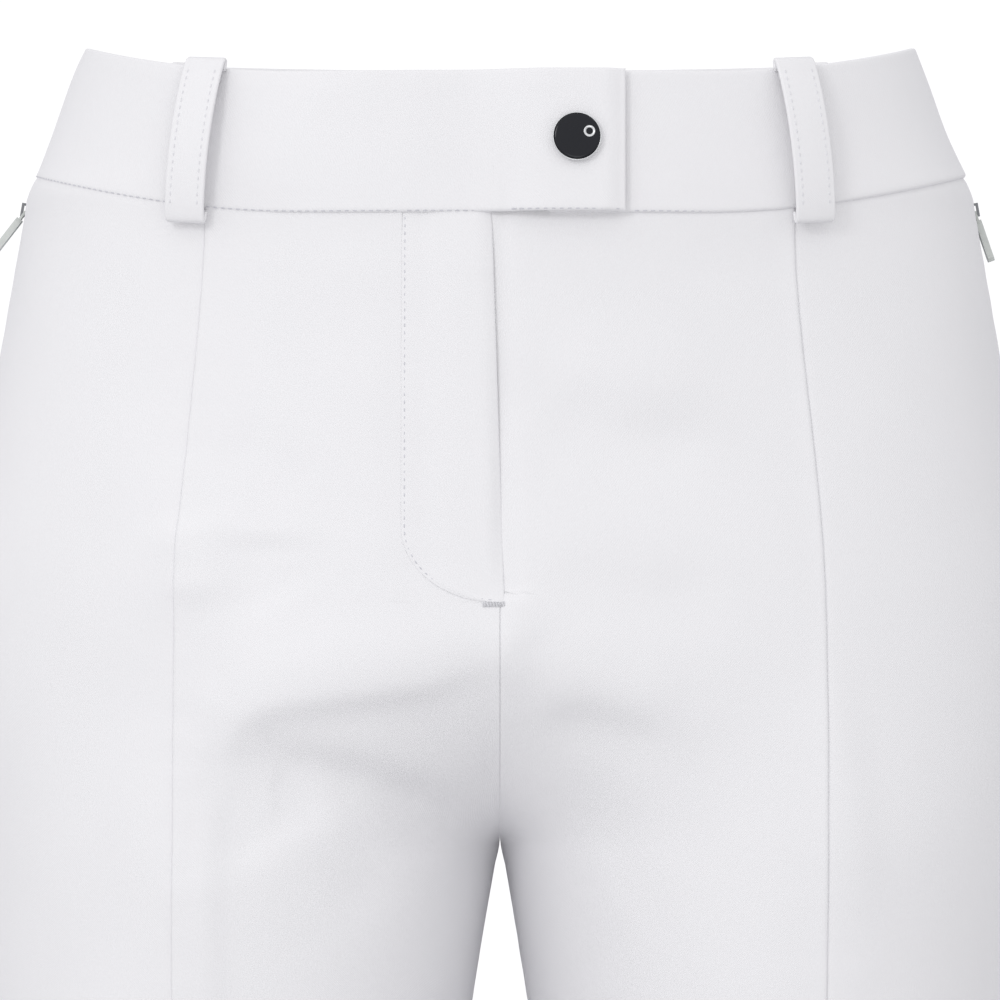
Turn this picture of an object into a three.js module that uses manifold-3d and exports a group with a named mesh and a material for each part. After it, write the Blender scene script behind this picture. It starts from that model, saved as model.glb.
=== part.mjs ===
// Ski pants, worn upright: Z up, the front faces -Y, the wearer's left is +X. Millimetres.
// The origin is the middle of the waist opening, level with the top edge at the centre front.
import * as THREE from 'three';
import { mergeVertices } from 'three/addons/utils/BufferGeometryUtils.js';
import Module from 'manifold-3d';

const wasm = await Module();
wasm.setup();

// ---- driving dimensions ----
const GAP = 0.3;             // clearance between neighbouring pieces
const CLOTH = 1.2;           // shell cloth
const BAND_HEIGHT = 50;      // waistband at the centre front
const BAND_PROUD = 1.8;      // the waistband's face above the shell cloth
const BAND_THICK = BAND_PROUD + CLOTH;
const SIDE_RISE = 13.3;      // the waist edge is this much higher at the sides and back
const CROTCH_Z = -275;
const HEM_Z = -1041;
const CLEFT_TOP_Z = -195;    // the hips begin to part into two legs here
const ROUNDNESS = 2.4;       // superellipse power of the hips

const FLY_FOLD_X = -34;      // straight part of the fly's J seam, on the wearer's right
const FLY_CURVE_Z = -160;
const FLY_END_Z = -186;
const FLY_ZIP_X = -8;
const FLY_ZIP_TOP = -54;
const FLY_ZIP_BOTTOM = -177;
const FLY_SLIDER_Z = -60;

const POCKET_TOP_Z = -39.5;
const POCKET_END_Z = -171;
const POCKET_SLOT = 4.6;     // half width of the slot in the side seam
const POCKET_SLIDER_Z = -45;
const PULL_REST = { left: 9, right: 28 }; // degrees each pocket pull stands off its zip

const TAB_ROOT_X = -2.55;
const TAB_END_X = 43.4;
const TAB_LIFT = 4.2;        // back face of the tab above the shell cloth
const TAB_THICK = 2.4;
const LAP_SUNK_X = 11;       // the left band dips behind the right one between these two places
const LAP_PROUD_X = 21;
const SNAP_X = 26.4;
const SNAP_Z = -24.6;
const LOOP_HALF_WIDE = 7.5;

// height, half width, depth to front and back, then leg centre and leg half sizes
const STATIONS = [
  [30, 142.5, 90, 84, 84, 0, 92, 100],
  [13.3, 148.8, 91, 87, 85, 0, 92, 100],
  [0, 153.9, 92.1, 90, 85.5, 0, 92, 100],
  [-20, 161.2, 94.1, 95, 86, 0, 92, 100],
  [-32, 166.9, 95.4, 98, 86.5, 0, 92, 100],
  [-40, 171, 96.2, 100, 87, 0, 92, 100],
  [-48, 172.4, 97, 102, 87, 0, 92, 100],
  [-70, 176.3, 99.2, 106, 87.5, 0, 92, 100],
  [-110, 183.3, 103.3, 115, 88.5, 0, 95, 103],
  [-150, 190.3, 107.4, 121, 90.5, 0, 99.8, 106],
  [-175, 194.4, 110, 123.5, 91.5, 1, 102.9, 108],
  [-205, 196.4, 112, 124, 93.5, 3, 102.9, 109],
  [-240, 196.8, 111, 124, 95.5, 4, 101.3, 109],
  [-275, 195, 108, 119, 97.5, 4, 97.5, 108],
  [-332, 189.6, 100, 110, 99.8, 3, 89.8, 104.5],
  [-450, 182, 100, 100, 104, 0, 78.5, 93],
  [-580, 176, 100, 100, 108, -4, 68.5, 81],
  [-750, 174, 100, 100, 113, 2, 63, 73],
  [-900, 180, 100, 100, 117, 6, 66, 75],
  [-1054, 190, 100, 100, 120, 6, 71.5, 81],
];

function slopes(column) {
  return STATIONS.map((row, i) => {
    if (i === 0 || i === STATIONS.length - 1) {
      const j = i === 0 ? 1 : i;
      return (STATIONS[j][column] - STATIONS[j - 1][column]) / (STATIONS[j][0] - STATIONS[j - 1][0]);
    }
    const above = STATIONS[i - 1];
    const below = STATIONS[i + 1];
    const up = above[0] - row[0];
    const down = row[0] - below[0];
    const rise = (above[column] - row[column]) / up;
    const fall = (row[column] - below[column]) / down;
    return (rise * down + fall * up) / (up + down);
  });
}
const SLOPES = [1, 2, 3, 4, 5, 6, 7].map(slopes);

// smooth value of one station column at height z
function station(column, z) {
  let i = 0;
  while (i < STATIONS.length - 2 && STATIONS[i + 1][0] > z) i += 1;
  const [upper, lower] = [STATIONS[i], STATIONS[i + 1]];
  const span = upper[0] - lower[0];
  const t = Math.min(1, Math.max(0, (z - lower[0]) / span));
  const m = SLOPES[column - 1];
  const low = (2 * t * t * t - 3 * t * t + 1) * lower[column] + (t * t * t - 2 * t * t + t) * span * m[i + 1];
  return low + (3 * t * t - 2 * t * t * t) * upper[column] + (t * t * t - t * t) * span * m[i];
}

function smooth(t) {
  const c = Math.min(1, Math.max(0, t));
  return c * c * (3 - 2 * c);
}

// distance from the leg centre to the hip outline, in the direction of the angle
function hipRadius(angle, z) {
  const [wide, front, back] = [station(1, z), station(2, z), station(3, z)];
  const [cx, cy] = [station(4, z), station(5, z)];
  let near = 0;
  let far = 500;
  for (let i = 0; i < 36; i += 1) {
    const r = (near + far) / 2;
    const x = cx + r * Math.cos(angle);
    const y = cy - r * Math.sin(angle);
    const deep = y < 0 ? front : back;
    if (Math.abs(x / wide) ** ROUNDNESS + Math.abs(y / deep) ** ROUNDNESS < 1) near = r;
    else far = r;
  }
  return near;
}

function legRadius(angle, z) {
  const [wide, deep] = [station(6, z), station(7, z)];
  return (wide * deep) / Math.hypot(deep * Math.cos(angle), wide * Math.sin(angle));
}

// Outer face of the shell cloth on the wearer's left. Angle 0 is the side seam, a positive
// angle goes round to the front and a negative one round to the back.
function skin(angle, z) {
  const leg = smooth((CLEFT_TOP_Z - z) / (CLEFT_TOP_Z - CROTCH_Z));
  const hip = leg < 1 ? hipRadius(angle, z) * (1 - leg) : 0;
  const r = hip + (leg > 0 ? legRadius(angle, z) * leg : 0);
  return new THREE.Vector3(station(4, z) + r * Math.cos(angle), station(5, z) - r * Math.sin(angle), z);
}

function outward(angle, z) {
  const across = skin(angle + 0.004, z).sub(skin(angle - 0.004, z));
  const along = skin(angle, z + 0.6).sub(skin(angle, z - 0.6));
  return along.cross(across).normalize();
}

function offSkin(angle, z, lift) {
  return skin(angle, z).addScaledVector(outward(angle, z), lift);
}

// angle on the front (1) or back (-1) where the skin crosses the given x
function angleAtX(z, x, side) {
  let near = side * 0.02;
  let far = side * Math.PI;
  if (skin(far, z).x >= x) return far;
  for (let i = 0; i < 34; i += 1) {
    const middle = (near + far) / 2;
    if (skin(middle, z).x > x) near = middle;
    else far = middle;
  }
  return near;
}

// angle that lies the given distance round from the side seam, towards the front if positive
function angleAtArc(z, distance) {
  const perRadian = skin(0.02, z).distanceTo(skin(-0.02, z)) / 0.04;
  return distance / perRadian;
}

// ---- seam lines ----
function frontShare(angle) {
  return (1 - Math.cos(Math.PI * Math.min(1, Math.max(0, angle / 1.8)))) / 2;
}

function waistTop(angle) {
  return SIDE_RISE * (1 - frontShare(angle));
}

function bandBottom(angle) {
  return waistTop(angle) - (BAND_HEIGHT - 3 * (1 - frontShare(angle)));
}

// top edge of the pieces sewn to the waistband
function underBand(angle) {
  return bandBottom(angle) - 0.5;
}

function creaseX(z) {
  const upper = 103.5 + 10.5 * smooth((-45 - z) / 150);
  return upper + 9 * smooth((-640 - z) / 400);
}

function yokeSeam(angle) {
  return -72 - 42 * Math.min(1, -angle / 2.0);
}

// left edge of the fly on the wearer's right side, as a distance from the centre front
function flyEdge(z) {
  if (z > FLY_CURVE_Z) return -FLY_FOLD_X;
  const t = Math.min(1, (FLY_CURVE_Z - z) / (FLY_CURVE_Z - FLY_END_Z));
  return -FLY_FOLD_X * Math.sqrt(Math.max(0, 1 - t * t));
}

// half width of the slot that the pocket zip sits in
function sideSlot(z) {
  const top = smooth((POCKET_TOP_Z + 1.5 - z) / 3);
  const bottom = smooth((z - POCKET_END_Z + 1.5) / 3);
  return GAP / 2 + (POCKET_SLOT - GAP / 2) * top * bottom;
}

const FLY_ROWS = [-166, -171, -175, -178.5, -181.5, -183.8, -185.4, -186.3];
const CLEFT_ROWS = [-205, -216, -228, -238, -247, -255, -262, -268, -272, -275, -279];
const LEG_ROWS = [-290, -310, -340, -390, -450, -520, -600, -680, -760, -840, -920, -985, HEM_Z];
const SLOT_ROWS = [-38, -41, -44];
const SLOT_END_ROWS = [-169.5, -172.5];

// ---- solids from grids ----
function fromTriangles(points, triangles) {
  const geometry = new THREE.BufferGeometry();
  const flat = points.flatMap((p) => [p.x, p.y, p.z]);
  geometry.setAttribute('position', new THREE.Float32BufferAttribute(flat, 3));
  let volume = 0;
  for (const [a, b, c] of triangles) {
    volume += points[a].dot(points[b].clone().cross(points[c]));
  }
  const outwards = volume > 0 ? triangles : triangles.map(([a, b, c]) => [a, c, b]);
  geometry.setIndex(outwards.flat());
  return geometry;
}

// Closed sheet with thickness: faces[0] is the outer grid of points, faces[1] the inner one.
function sheet(faces, wrap = false) {
  const rows = faces[0].length;
  const columns = faces[0][0].length;
  const points = faces.flat(2);
  const at = (face, row, column) => (face * rows + row) * columns + (column % columns);
  const triangles = [];
  const quad = (a, b, c, d) => triangles.push([a, b, c], [a, c, d]);
  const last = wrap ? columns : columns - 1;
  for (let r = 0; r < rows - 1; r += 1) {
    for (let c = 0; c < last; c += 1) {
      quad(at(0, r, c), at(0, r + 1, c), at(0, r + 1, c + 1), at(0, r, c + 1));
      quad(at(1, r, c), at(1, r, c + 1), at(1, r + 1, c + 1), at(1, r + 1, c));
    }
  }
  for (let c = 0; c < last; c += 1) {
    quad(at(0, 0, c), at(0, 0, c + 1), at(1, 0, c + 1), at(1, 0, c));
    quad(at(0, rows - 1, c + 1), at(0, rows - 1, c), at(1, rows - 1, c), at(1, rows - 1, c + 1));
  }
  for (let r = 0; r < rows - 1 && !wrap; r += 1) {
    quad(at(0, r + 1, 0), at(0, r, 0), at(1, r, 0), at(1, r + 1, 0));
    const c = columns - 1;
    quad(at(0, r, c), at(0, r + 1, c), at(1, r + 1, c), at(1, r, c));
  }
  return fromTriangles(points, triangles);
}

// Cloth panel. rows: heights, or functions of the angle. edges(z): the angles of its columns.
function panel({ rows, edges, outer = () => 0, thick = CLOTH, level = false }) {
  const faces = [0, 1].map((face) => rows.map((row, r) => {
    const z0 = typeof row === 'function' ? row(0.8 * Math.sign(edges(-90).at(-1))) : row;
    return edges(z0).map((first, c) => {
      let angle = first;
      let z = z0;
      for (let k = 0; typeof row === 'function' && k < 4; k += 1) {
        z = row(angle);
        angle = edges(z)[c];
      }
      const point = offSkin(angle, z, outer(angle, z) - face * thick);
      if (level && r === rows.length - 1) point.z = HEM_Z;
      return point;
    });
  }));
  return sheet(faces);
}

function spread(from, to, count) {
  return Array.from({ length: count + 1 }, (_, i) => from + ((to - from) * i) / count);
}

function mirrored(geometry) {
  const copy = geometry.clone().applyMatrix4(new THREE.Matrix4().makeScale(-1, 1, 1));
  const index = Array.from(copy.index.array);
  for (let i = 0; i < index.length; i += 3) [index[i], index[i + 1]] = [index[i + 1], index[i]];
  copy.setIndex(index);
  return copy;
}

function placed(geometry, origin, x, y, z) {
  return geometry.applyMatrix4(new THREE.Matrix4().makeBasis(x, y, z).setPosition(origin));
}

function bare(geometry) {
  geometry.deleteAttribute('normal');
  geometry.deleteAttribute('uv');
  return mergeVertices(geometry, 1e-4);
}

function toSolid(geometry) {
  const clean = bare(geometry);
  return new wasm.Manifold(new wasm.Mesh({
    numProp: 3,
    vertProperties: new Float32Array(clean.attributes.position.array),
    triVerts: new Uint32Array(clean.index.array),
  }));
}

function fromSolid(solid) {
  const mesh = solid.getMesh();
  const geometry = new THREE.BufferGeometry();
  geometry.setAttribute('position', new THREE.Float32BufferAttribute(Array.from(mesh.vertProperties), 3));
  geometry.setIndex(Array.from(mesh.triVerts));
  return geometry;
}

// prism with the given outline, from low to high along its own z
function prism(outline, low, high, hole = null) {
  const shape = new THREE.Shape(outline.map(([x, y]) => new THREE.Vector2(x, y)));
  if (hole) shape.holes.push(new THREE.Path(hole.map(([x, y]) => new THREE.Vector2(x, y))));
  const geometry = new THREE.ExtrudeGeometry(shape, { depth: high - low, bevelEnabled: false });
  return bare(geometry.translate(0, 0, low));
}

function block(x0, x1, y0, y1, z0, z1) {
  return prism([[x0, y0], [x1, y0], [x1, y1], [x0, y1]], z0, z1);
}

// ---- finishes ----
const FINISH = {
  shell: [0xe9eaef, 0.85, 0],
  lining: [0xdfe1e6, 0.8, 0],
  facing: [0xd5d8df, 0.75, 0],
  gloss: [0x0b0b0d, 0.12, 0],
  metal: [0xc9cbcd, 0.3, 1],
  darkMetal: [0x55585c, 0.35, 1],
  zip: [0xe2e3e6, 0.6, 0],
  puller: [0xd9dcd8, 0.55, 0],
  guard: [0xc8cbd1, 0.7, 0],
  elastic: [0xd0d2d8, 0.8, 0],
};
const pants = new THREE.Group();
pants.name = 'ski_pants';

function add(name, geometry, finish) {
  const [color, roughness, metalness] = FINISH[finish];
  const material = new THREE.MeshStandardMaterial({ color, roughness, metalness });
  material.name = finish;
  geometry.computeVertexNormals();
  const mesh = new THREE.Mesh(geometry, material);
  mesh.name = name;
  pants.add(mesh);
}

function addPair(name, geometry, finish) {
  add(`${name}_left`, geometry, finish);
  add(`${name}_right`, mirrored(geometry), finish);
}

// ---- legs ----
// centre front edge of a front panel, as an angle
function centreEdge(z, side) {
  if (z <= FLY_END_Z) return angleAtX(z, GAP / 2, 1);
  if (side === 'left') return angleAtX(z, z < FLY_END_Z + 3 ? GAP / 2 : -3, 1);
  return angleAtX(z, flyEdge(z) + GAP, 1);
}

function frontInner(side) {
  const rows = [underBand, -58, -75, -100, -130, -152, ...FLY_ROWS];
  const edges = (z) => {
    const seam = angleAtX(z, creaseX(z), 1) + angleAtArc(z, GAP / 2);
    return spread(seam, centreEdge(z, side), 5);
  };
  return panel({ rows: [...rows, ...CLEFT_ROWS, ...LEG_ROWS], edges, level: true });
}

function frontOuter() {
  const upper = [underBand, ...slotTop(), -58, -75, -100, -130, -152];
  const lower = [...SLOT_END_ROWS, -186.3, -205, -228, -247, -262, -275];
  const edges = (z) => {
    const seam = angleAtX(z, creaseX(z), 1) - angleAtArc(z, GAP / 2);
    const first = angleAtArc(z, sideSlot(z));
    const second = angleAtArc(z, 14);
    return [first, ...spread(second, seam, 6)];
  };
  return panel({ rows: [...upper, ...lower, ...LEG_ROWS], edges, level: true });
}

// rows that bend from the sloping waist seam to level ones while opening the pocket slot
function slotTop() {
  return SLOT_ROWS.map((z, i) => (angle) => {
    const share = (i + 1) / (SLOT_ROWS.length + 1.2);
    const slanted = bandBottom(angle) * (1 - share) - 58 * share;
    return z + (slanted - z) * smooth((Math.abs(angle) - 0.05) / 0.35);
  });
}

function backYoke() {
  const edges = (z) => {
    const first = -angleAtArc(z, sideSlot(z));
    const second = -angleAtArc(z, 14);
    const centre = angleAtX(z, GAP / 2, -1);
    return [first, ...spread(second, centre, 8)];
  };
  const yoke = (share) => (angle) => {
    const top = slotTop().at(-1)(angle);
    return top + (yokeSeam(angle) + GAP / 2 - top) * share;
  };
  const rows = [underBand, ...slotTop(), yoke(0.35), yoke(0.7), yoke(1)];
  return panel({ rows, edges });
}

function backLeg() {
  const edges = (z) => {
    const first = -angleAtArc(z, sideSlot(z));
    const second = -angleAtArc(z, 14);
    const centre = angleAtX(z, GAP / 2, -1);
    return [first, ...spread(second, centre, 9)];
  };
  const upper = [(a) => yokeSeam(a) - GAP / 2, (a) => (yokeSeam(a) - 130) / 2, -130, -152];
  return panel({ rows: [...upper, ...SLOT_END_ROWS, -190, ...CLEFT_ROWS, ...LEG_ROWS], edges, level: true });
}

// ---- waistband ----
// how far the tab's back face stands off the shell cloth, at a distance x from the centre
function tabBack(x) {
  return -CLOTH + (TAB_LIFT + CLOTH) * smooth((x - TAB_ROOT_X) / 16);
}

function bandRows(inset = 0) {
  return [0, 0.5, 1].map((share) => (angle) => {
    const top = waistTop(angle) - inset;
    return top + (bandBottom(angle) + inset - top) * share;
  });
}

function bandPanel(edges) {
  return panel({ rows: bandRows(), edges, outer: () => BAND_PROUD, thick: BAND_THICK });
}

// lining strip behind a waistband piece, as far as the given column of it
function facing(edges, columns) {
  const outer = () => -CLOTH - 2 * GAP;
  return panel({ rows: bandRows(3), edges: (z) => edges(z).slice(0, columns), outer, thick: 0.8 });
}

const sideFront = (z) => angleAtArc(z, GAP / 2);
const bandBackEdges = (z) => spread(-sideFront(z), angleAtX(z, GAP / 2, -1), 12);
const bandRightEdges = (z) => spread(sideFront(z), angleAtX(z, -FLY_FOLD_X + GAP / 2, 1), 10);

// the end of the right waistband, which swings open with the fly flap
function bandEndEdges(z) {
  const ends = [-FLY_FOLD_X - GAP / 2, -TAB_ROOT_X + GAP / 2];
  return spread(...ends.map((x) => angleAtX(z, x, 1)), 3);
}

function bandLeftEdges(z) {
  const lap = [18.5, 16, 13.5, LAP_SUNK_X, 0, -15, -30].map((x) => angleAtX(z, x, 1));
  return [...spread(sideFront(z), angleAtX(z, LAP_PROUD_X, 1), 11), ...lap];
}

// the wearer's left front dips and carries on behind the right one as an underlap
function bandFrontLeft() {
  const sunk = tabBack(TAB_ROOT_X) - GAP;
  const outer = (angle, z) => {
    const risen = smooth((skin(angle, z).x - LAP_SUNK_X) / (LAP_PROUD_X - LAP_SUNK_X));
    return sunk + (BAND_PROUD - sunk) * risen;
  };
  return panel({ rows: bandRows(), edges: bandLeftEdges, outer, thick: BAND_THICK });
}

// the tab rises over the underlap and ends in a rounded fold
function bandTab() {
  const xs = [TAB_ROOT_X + GAP / 2, 1, 4.5, 8, 12, 17, 25, 33, 39, 42, TAB_END_X];
  const edges = (z) => xs.map((x) => angleAtX(z, x, 1));
  const depth = (x) => TAB_THICK + (BAND_THICK - TAB_THICK) * (1 - smooth((x - TAB_ROOT_X) / 16));
  const rounding = (x) => 0.7 * smooth((x - 40) / 3.4);
  const faces = [0, 1].map((face) => bandRows().map((row) => xs.map((x, c) => {
    let z = row(1.7);
    let angle = edges(z)[c];
    for (let k = 0; k < 3; k += 1) {
      z = row(angle);
      angle = angleAtX(z, x, 1);
    }
    const low = tabBack(x) + rounding(x);
    return offSkin(angle, z, face ? low : low + depth(x) - 2 * rounding(x));
  })));
  return sheet(faces);
}

// ---- belt loops: a strip bowed off the band, its ends folded flat against it ----
function beltLoop(angle, { centre = false, lean = 0, share = 0.93, drop = 0.8 } = {}) {
  const z = (waistTop(angle) + bandBottom(angle)) / 2;
  const normal = outward(angle, z);
  if (centre) normal.set(0, 1, normal.z).normalize();
  const up = skin(angle, z + 20).sub(skin(angle, z - 20));
  if (centre) up.x = 0;
  up.addScaledVector(normal, -up.dot(normal)).normalize();
  up.addScaledVector(normal.clone().cross(up), lean).normalize();
  const across = normal.clone().cross(up);
  const bow = (b) => 3 + 5.4 * Math.sin((Math.PI * (b + 29.5)) / 55.5) ** 0.6;
  const stops = [26, 23.5, 20, 15, 8, 0, -8, -15, -20, -24, -27.5, -29.5];
  const front = stops.map((b) => [bow(b), b]);
  const back = stops.slice(2, -2).map((b) => [bow(b) - 1.6, b]);
  const foot = 0.8;
  const outline = [...front, [foot, -29.5], [foot, -25.6], ...back.reverse(), [foot, 21.5], [foot, 26]];
  const strip = prism(outline.map(([n, b]) => [n, b * share - drop]), -LOOP_HALF_WIDE, LOOP_HALF_WIDE);
  const origin = skin(angle, z).addScaledVector(normal, BAND_PROUD);
  if (centre) origin.x = 0;
  return placed(strip, origin, normal, up, across);
}

// ---- snap fastener ----
function snapFrame(lift) {
  const angle = angleAtX(SNAP_Z, SNAP_X, 1);
  const normal = outward(angle, SNAP_Z);
  const side = new THREE.Vector3(1, 0, 0).addScaledVector(normal, -normal.x).normalize();
  return [offSkin(angle, SNAP_Z, lift), side, normal, side.clone().cross(normal)];
}

function turned(profile, lift, segments = 24, shift = [0, 0]) {
  const outline = profile.map(([r, y]) => new THREE.Vector2(r, y));
  const lathe = new THREE.LatheGeometry(outline, segments).translate(shift[0], 0, shift[1]);
  return placed(bare(lathe), ...snapFrame(lift));
}

function ring(inner, outer, low, high) {
  return [[inner, low], [outer, low], [outer, high], [inner, high], [inner, low]];
}

function snapParts() {
  const face = TAB_LIFT + TAB_THICK + GAP;
  const cap = [[0, 0], [7.6, 0], [8.6, 0.7], [8.6, 1.5], [8.1, 1.9], [7.9, 1.3], [0, 1.3]];
  add('snap_cap', turned(cap, face), 'metal');
  const insert = [[0, 1.6], [7.5, 1.6], [7.5, 1.95], [7.1, 2.2], [0, 2.35]];
  add('snap_cap_insert', turned(insert, face), 'gloss');
  add('snap_cap_ring', turned(ring(1.2, 2, 2.65, 2.9), face, 16, [4.3, -1.6]), 'metal');
  add('snap_socket', turned(ring(2.7, 5.4, 0, 1.0), 2.9, 20), 'darkMetal');
  const stud = [[0, 0], [5.2, 0], [5.2, 0.4], [2.1, 0.4], [2.1, 0.9], [2.3, 1.3], [1.9, 1.7], [0, 1.8]];
  add('snap_stud', turned(stud, BAND_PROUD + GAP, 20), 'darkMetal');
  const backing = [[0, 0], [4.6, 0], [5.2, 0.3], [5.2, 0.7], [0, 0.7]];
  add('snap_backing', turned(backing, -CLOTH - GAP - 0.95, 20), 'darkMetal');
}

// ---- zips ----
// Straight zip in its own frame: x across, y out of the cloth, z up along the zip.
function zipHalf(sign, tape, bead, low, high) {
  const [back, front] = tape;
  const [beadBack, beadFront] = bead;
  const outline = beadFront > front
    ? [[0.6, back], [11.5, back], [11.5, front], [2.8, front], [2.8, beadFront], [0.6, beadFront]]
    : [[0.6, beadBack], [2.8, beadBack], [2.8, back], [11.5, back], [11.5, front], [0.6, front]];
  return prism(outline.map(([x, y]) => [sign * x, y]), low, high);
}

// slider: two plates joined by a post between the zip halves, and a loop that holds the pull
function slider(plates, length) {
  const [backLow, backHigh, frontLow, frontHigh] = plates;
  const [wide, post] = [3.6, 0.35];
  const backWide = 3.2;
  const half = [[wide, frontHigh], [wide, frontLow], [post, frontLow], [post, backHigh],
    [backWide, backHigh], [backWide, backLow]];
  const other = half.map(([x, y]) => [-x, y]).reverse();
  const body = toSolid(prism([...half, ...other], -length / 2, length / 2));
  const loop = toSolid(block(-0.9, 0.9, frontHigh - 0.2, frontHigh + 2.7, -2.5, 2.5));
  const eye = toSolid(block(-2, 2, frontHigh + 0.3, frontHigh + 1.8, -1.6, 1.6));
  return fromSolid(body.add(loop.subtract(eye)));
}

// pull: a frame that hooks through the slider's loop, then a flat grip hanging along -z
function pull(length, halfWide, thick) {
  const head = [[-2.4, 0.45], [2.4, 0.45], [2.4, -3.8], [-2.4, -3.8]];
  const slot = [[-1.2, -0.45], [-1.2, -2.7], [1.2, -2.7], [1.2, -0.45]];
  const frame = toSolid(prism(head, -0.45, 0.45, slot));
  const w = halfWide;
  const grip = [[-w + 0.8, -3.1], [w - 0.8, -3.1], [w, -4.3], [w, -length + 1.4], [w - 1.2, -length]];
  const outline = [...grip, [-w + 1.2, -length], [-w, -length + 1.4], [-w, -4.3]];
  const body = fromSolid(frame.add(toSolid(prism(outline, -thick / 2, thick / 2))));
  return body.rotateX(Math.PI / 2);
}

function zipFrame(top, bottom, z, x = null) {
  const point = (height) => (x === null ? skin(0, height) : skin(angleAtX(height, 0, 1), height));
  const [a, b] = [point(top), point(bottom)];
  const up = a.clone().sub(b).normalize();
  const origin = a.clone().lerp(b, (top - z) / (top - bottom));
  const across = x === null ? new THREE.Vector3(0, -1, 0) : new THREE.Vector3(-1, 0, 0);
  if (x !== null) origin.x = x;
  return { origin, up, across, normal: up.clone().cross(across).normalize() };
}

function inFrame(geometry, frame) {
  return placed(geometry, frame.origin, frame.across, frame.normal, frame.up);
}

function flyZip() {
  const frame = () => zipFrame(FLY_ZIP_TOP, FLY_ZIP_BOTTOM, FLY_ZIP_TOP, FLY_ZIP_X);
  const length = FLY_ZIP_TOP - FLY_ZIP_BOTTOM;
  for (const [name, sign] of [['left', -1], ['right', 1]]) {
    const half = zipHalf(sign, [-5.3, -4.7], [-4.7, -3.4], -length, 0);
    add(`fly_zip_half_${name}`, inFrame(half, frame()), 'zip');
  }
  const at = zipFrame(FLY_ZIP_TOP, FLY_ZIP_BOTTOM, FLY_SLIDER_Z, FLY_ZIP_X);
  add('fly_zip_slider', inFrame(slider([-6.4, -5.6, -3.1, -2.1], 9), at), 'darkMetal');
  at.origin.addScaledVector(at.normal, -1.05).addScaledVector(at.up, -0.85);
  add('fly_zip_pull', inFrame(pull(17, 2.4, 1.1), at), 'darkMetal');
  const stop = block(-2.6, 2.6, -5, -3.6, -length - 3.4, -length - GAP);
  add('fly_zip_stop', inFrame(stop, frame()), 'darkMetal');
}

function pocket() {
  const frame = () => zipFrame(POCKET_TOP_Z - 8, POCKET_END_Z + 6, POCKET_TOP_Z);
  const length = POCKET_TOP_Z - POCKET_END_Z;
  for (const [name, sign] of [['front', 1], ['back', -1]]) {
    const half = zipHalf(sign, [-2.8, -2.2], [-4.1, -2.8], -length, 0);
    addPair(`pocket_zip_half_${name}`, inFrame(half, frame()), 'zip');
  }
  const at = zipFrame(POCKET_TOP_Z - 8, POCKET_END_Z + 6, POCKET_SLIDER_Z);
  addPair('pocket_slider', inFrame(slider([-5.2, -4.4, -1.9, -0.3], 9), at), 'darkMetal');
  at.origin.addScaledVector(at.normal, 0.75).addScaledVector(at.up, -0.85);
  const grip = (rest) => inFrame(pull(18.8, 3.2, 2.3).rotateX(THREE.MathUtils.degToRad(rest)), at);
  add('pocket_pull_left', grip(PULL_REST.left), 'puller');
  add('pocket_pull_right', mirrored(grip(PULL_REST.right)), 'puller');
  addPair('pocket_bag', pocketBag(), 'lining');
}

// inner layer of the pocket: edges against the shell cloth, the middle hanging free behind it
function pocketBag() {
  const stops = [-16, -7, 7, 22, 42, 62, 82, 94, 104];
  const top = (a) => bandBottom(a) - 1.5;
  const rows = [top, (a) => top(a) - 5.5, -70, -100, -130, -160, -178, -190, -204, -214];
  const edges = (z) => stops.map((s) => angleAtArc(z, s));
  const outer = (angle, z) => {
    const s = angle / angleAtArc(z, 1);
    const across = smooth((s + 16) / 9) * smooth((104 - s) / 30);
    const down = smooth((top(angle) - z) / 5.4) * smooth((z + 214) / 34);
    return -2.4 - 4.6 * across * down;
  };
  return panel({ rows, edges, outer, thick: 0.6 });
}

// ---- fly ----
function flyFlap() {
  const rows = [underBand, -58, -75, -100, -130, -152, ...FLY_ROWS.slice(0, -2)];
  const lift = (x) => 2.2 * smooth((-FLY_FOLD_X - 2 - x) / 18);
  const edges = (z) => spread(angleAtX(z, flyEdge(z), 1), angleAtX(z, -1.4, 1), 6);
  const outer = (angle, z) => lift(skin(angle, z).x);
  return mirrored(panel({ rows, edges, outer }));
}

function flyShield() {
  const rows = [-52, -75, -110, -150, -190];
  const edges = (z) => spread(angleAtX(z, 32, 1), angleAtX(z, -14, 1), 4);
  return mirrored(panel({ rows, edges, outer: () => -7.4 }));
}

// ---- inside the cuffs ----
function legTube(rows, outer, thick, columns = 24) {
  const angles = spread(-Math.PI, Math.PI, columns).slice(0, -1);
  const faces = [0, 1].map((face) => rows.map((z) => (
    angles.map((angle) => offSkin(angle, z, outer(z) - face * thick)))));
  return sheet(faces, true);
}

function gaiterLift(z) {
  return -3.4 - 12 * smooth((-905 - z) / 110);
}

function cuffParts() {
  addPair('snow_gaiter', legTube([-895, -945, -990, -1030], gaiterLift, 0.5), 'lining');
  addPair('gaiter_elastic', legTube([-1008, -1029], () => gaiterLift(-1030) - 0.9, 1.2), 'elastic');
  const around = Math.PI * 0.36;
  const edges = () => spread(Math.PI - around, Math.PI + around, 16);
  const rows = [-958, -985, -1012, HEM_Z + 1.5];
  addPair('scuff_guard', panel({ rows, edges, outer: () => 1.7, thick: 1.1 }), 'guard');
}

// ---- assembly ----
add('front_inner_left', frontInner('left'), 'shell');
add('front_inner_right', mirrored(frontInner('right')), 'shell');
addPair('front_outer', frontOuter(), 'shell');
addPair('back_yoke', backYoke(), 'shell');
addPair('back_leg', backLeg(), 'shell');

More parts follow.
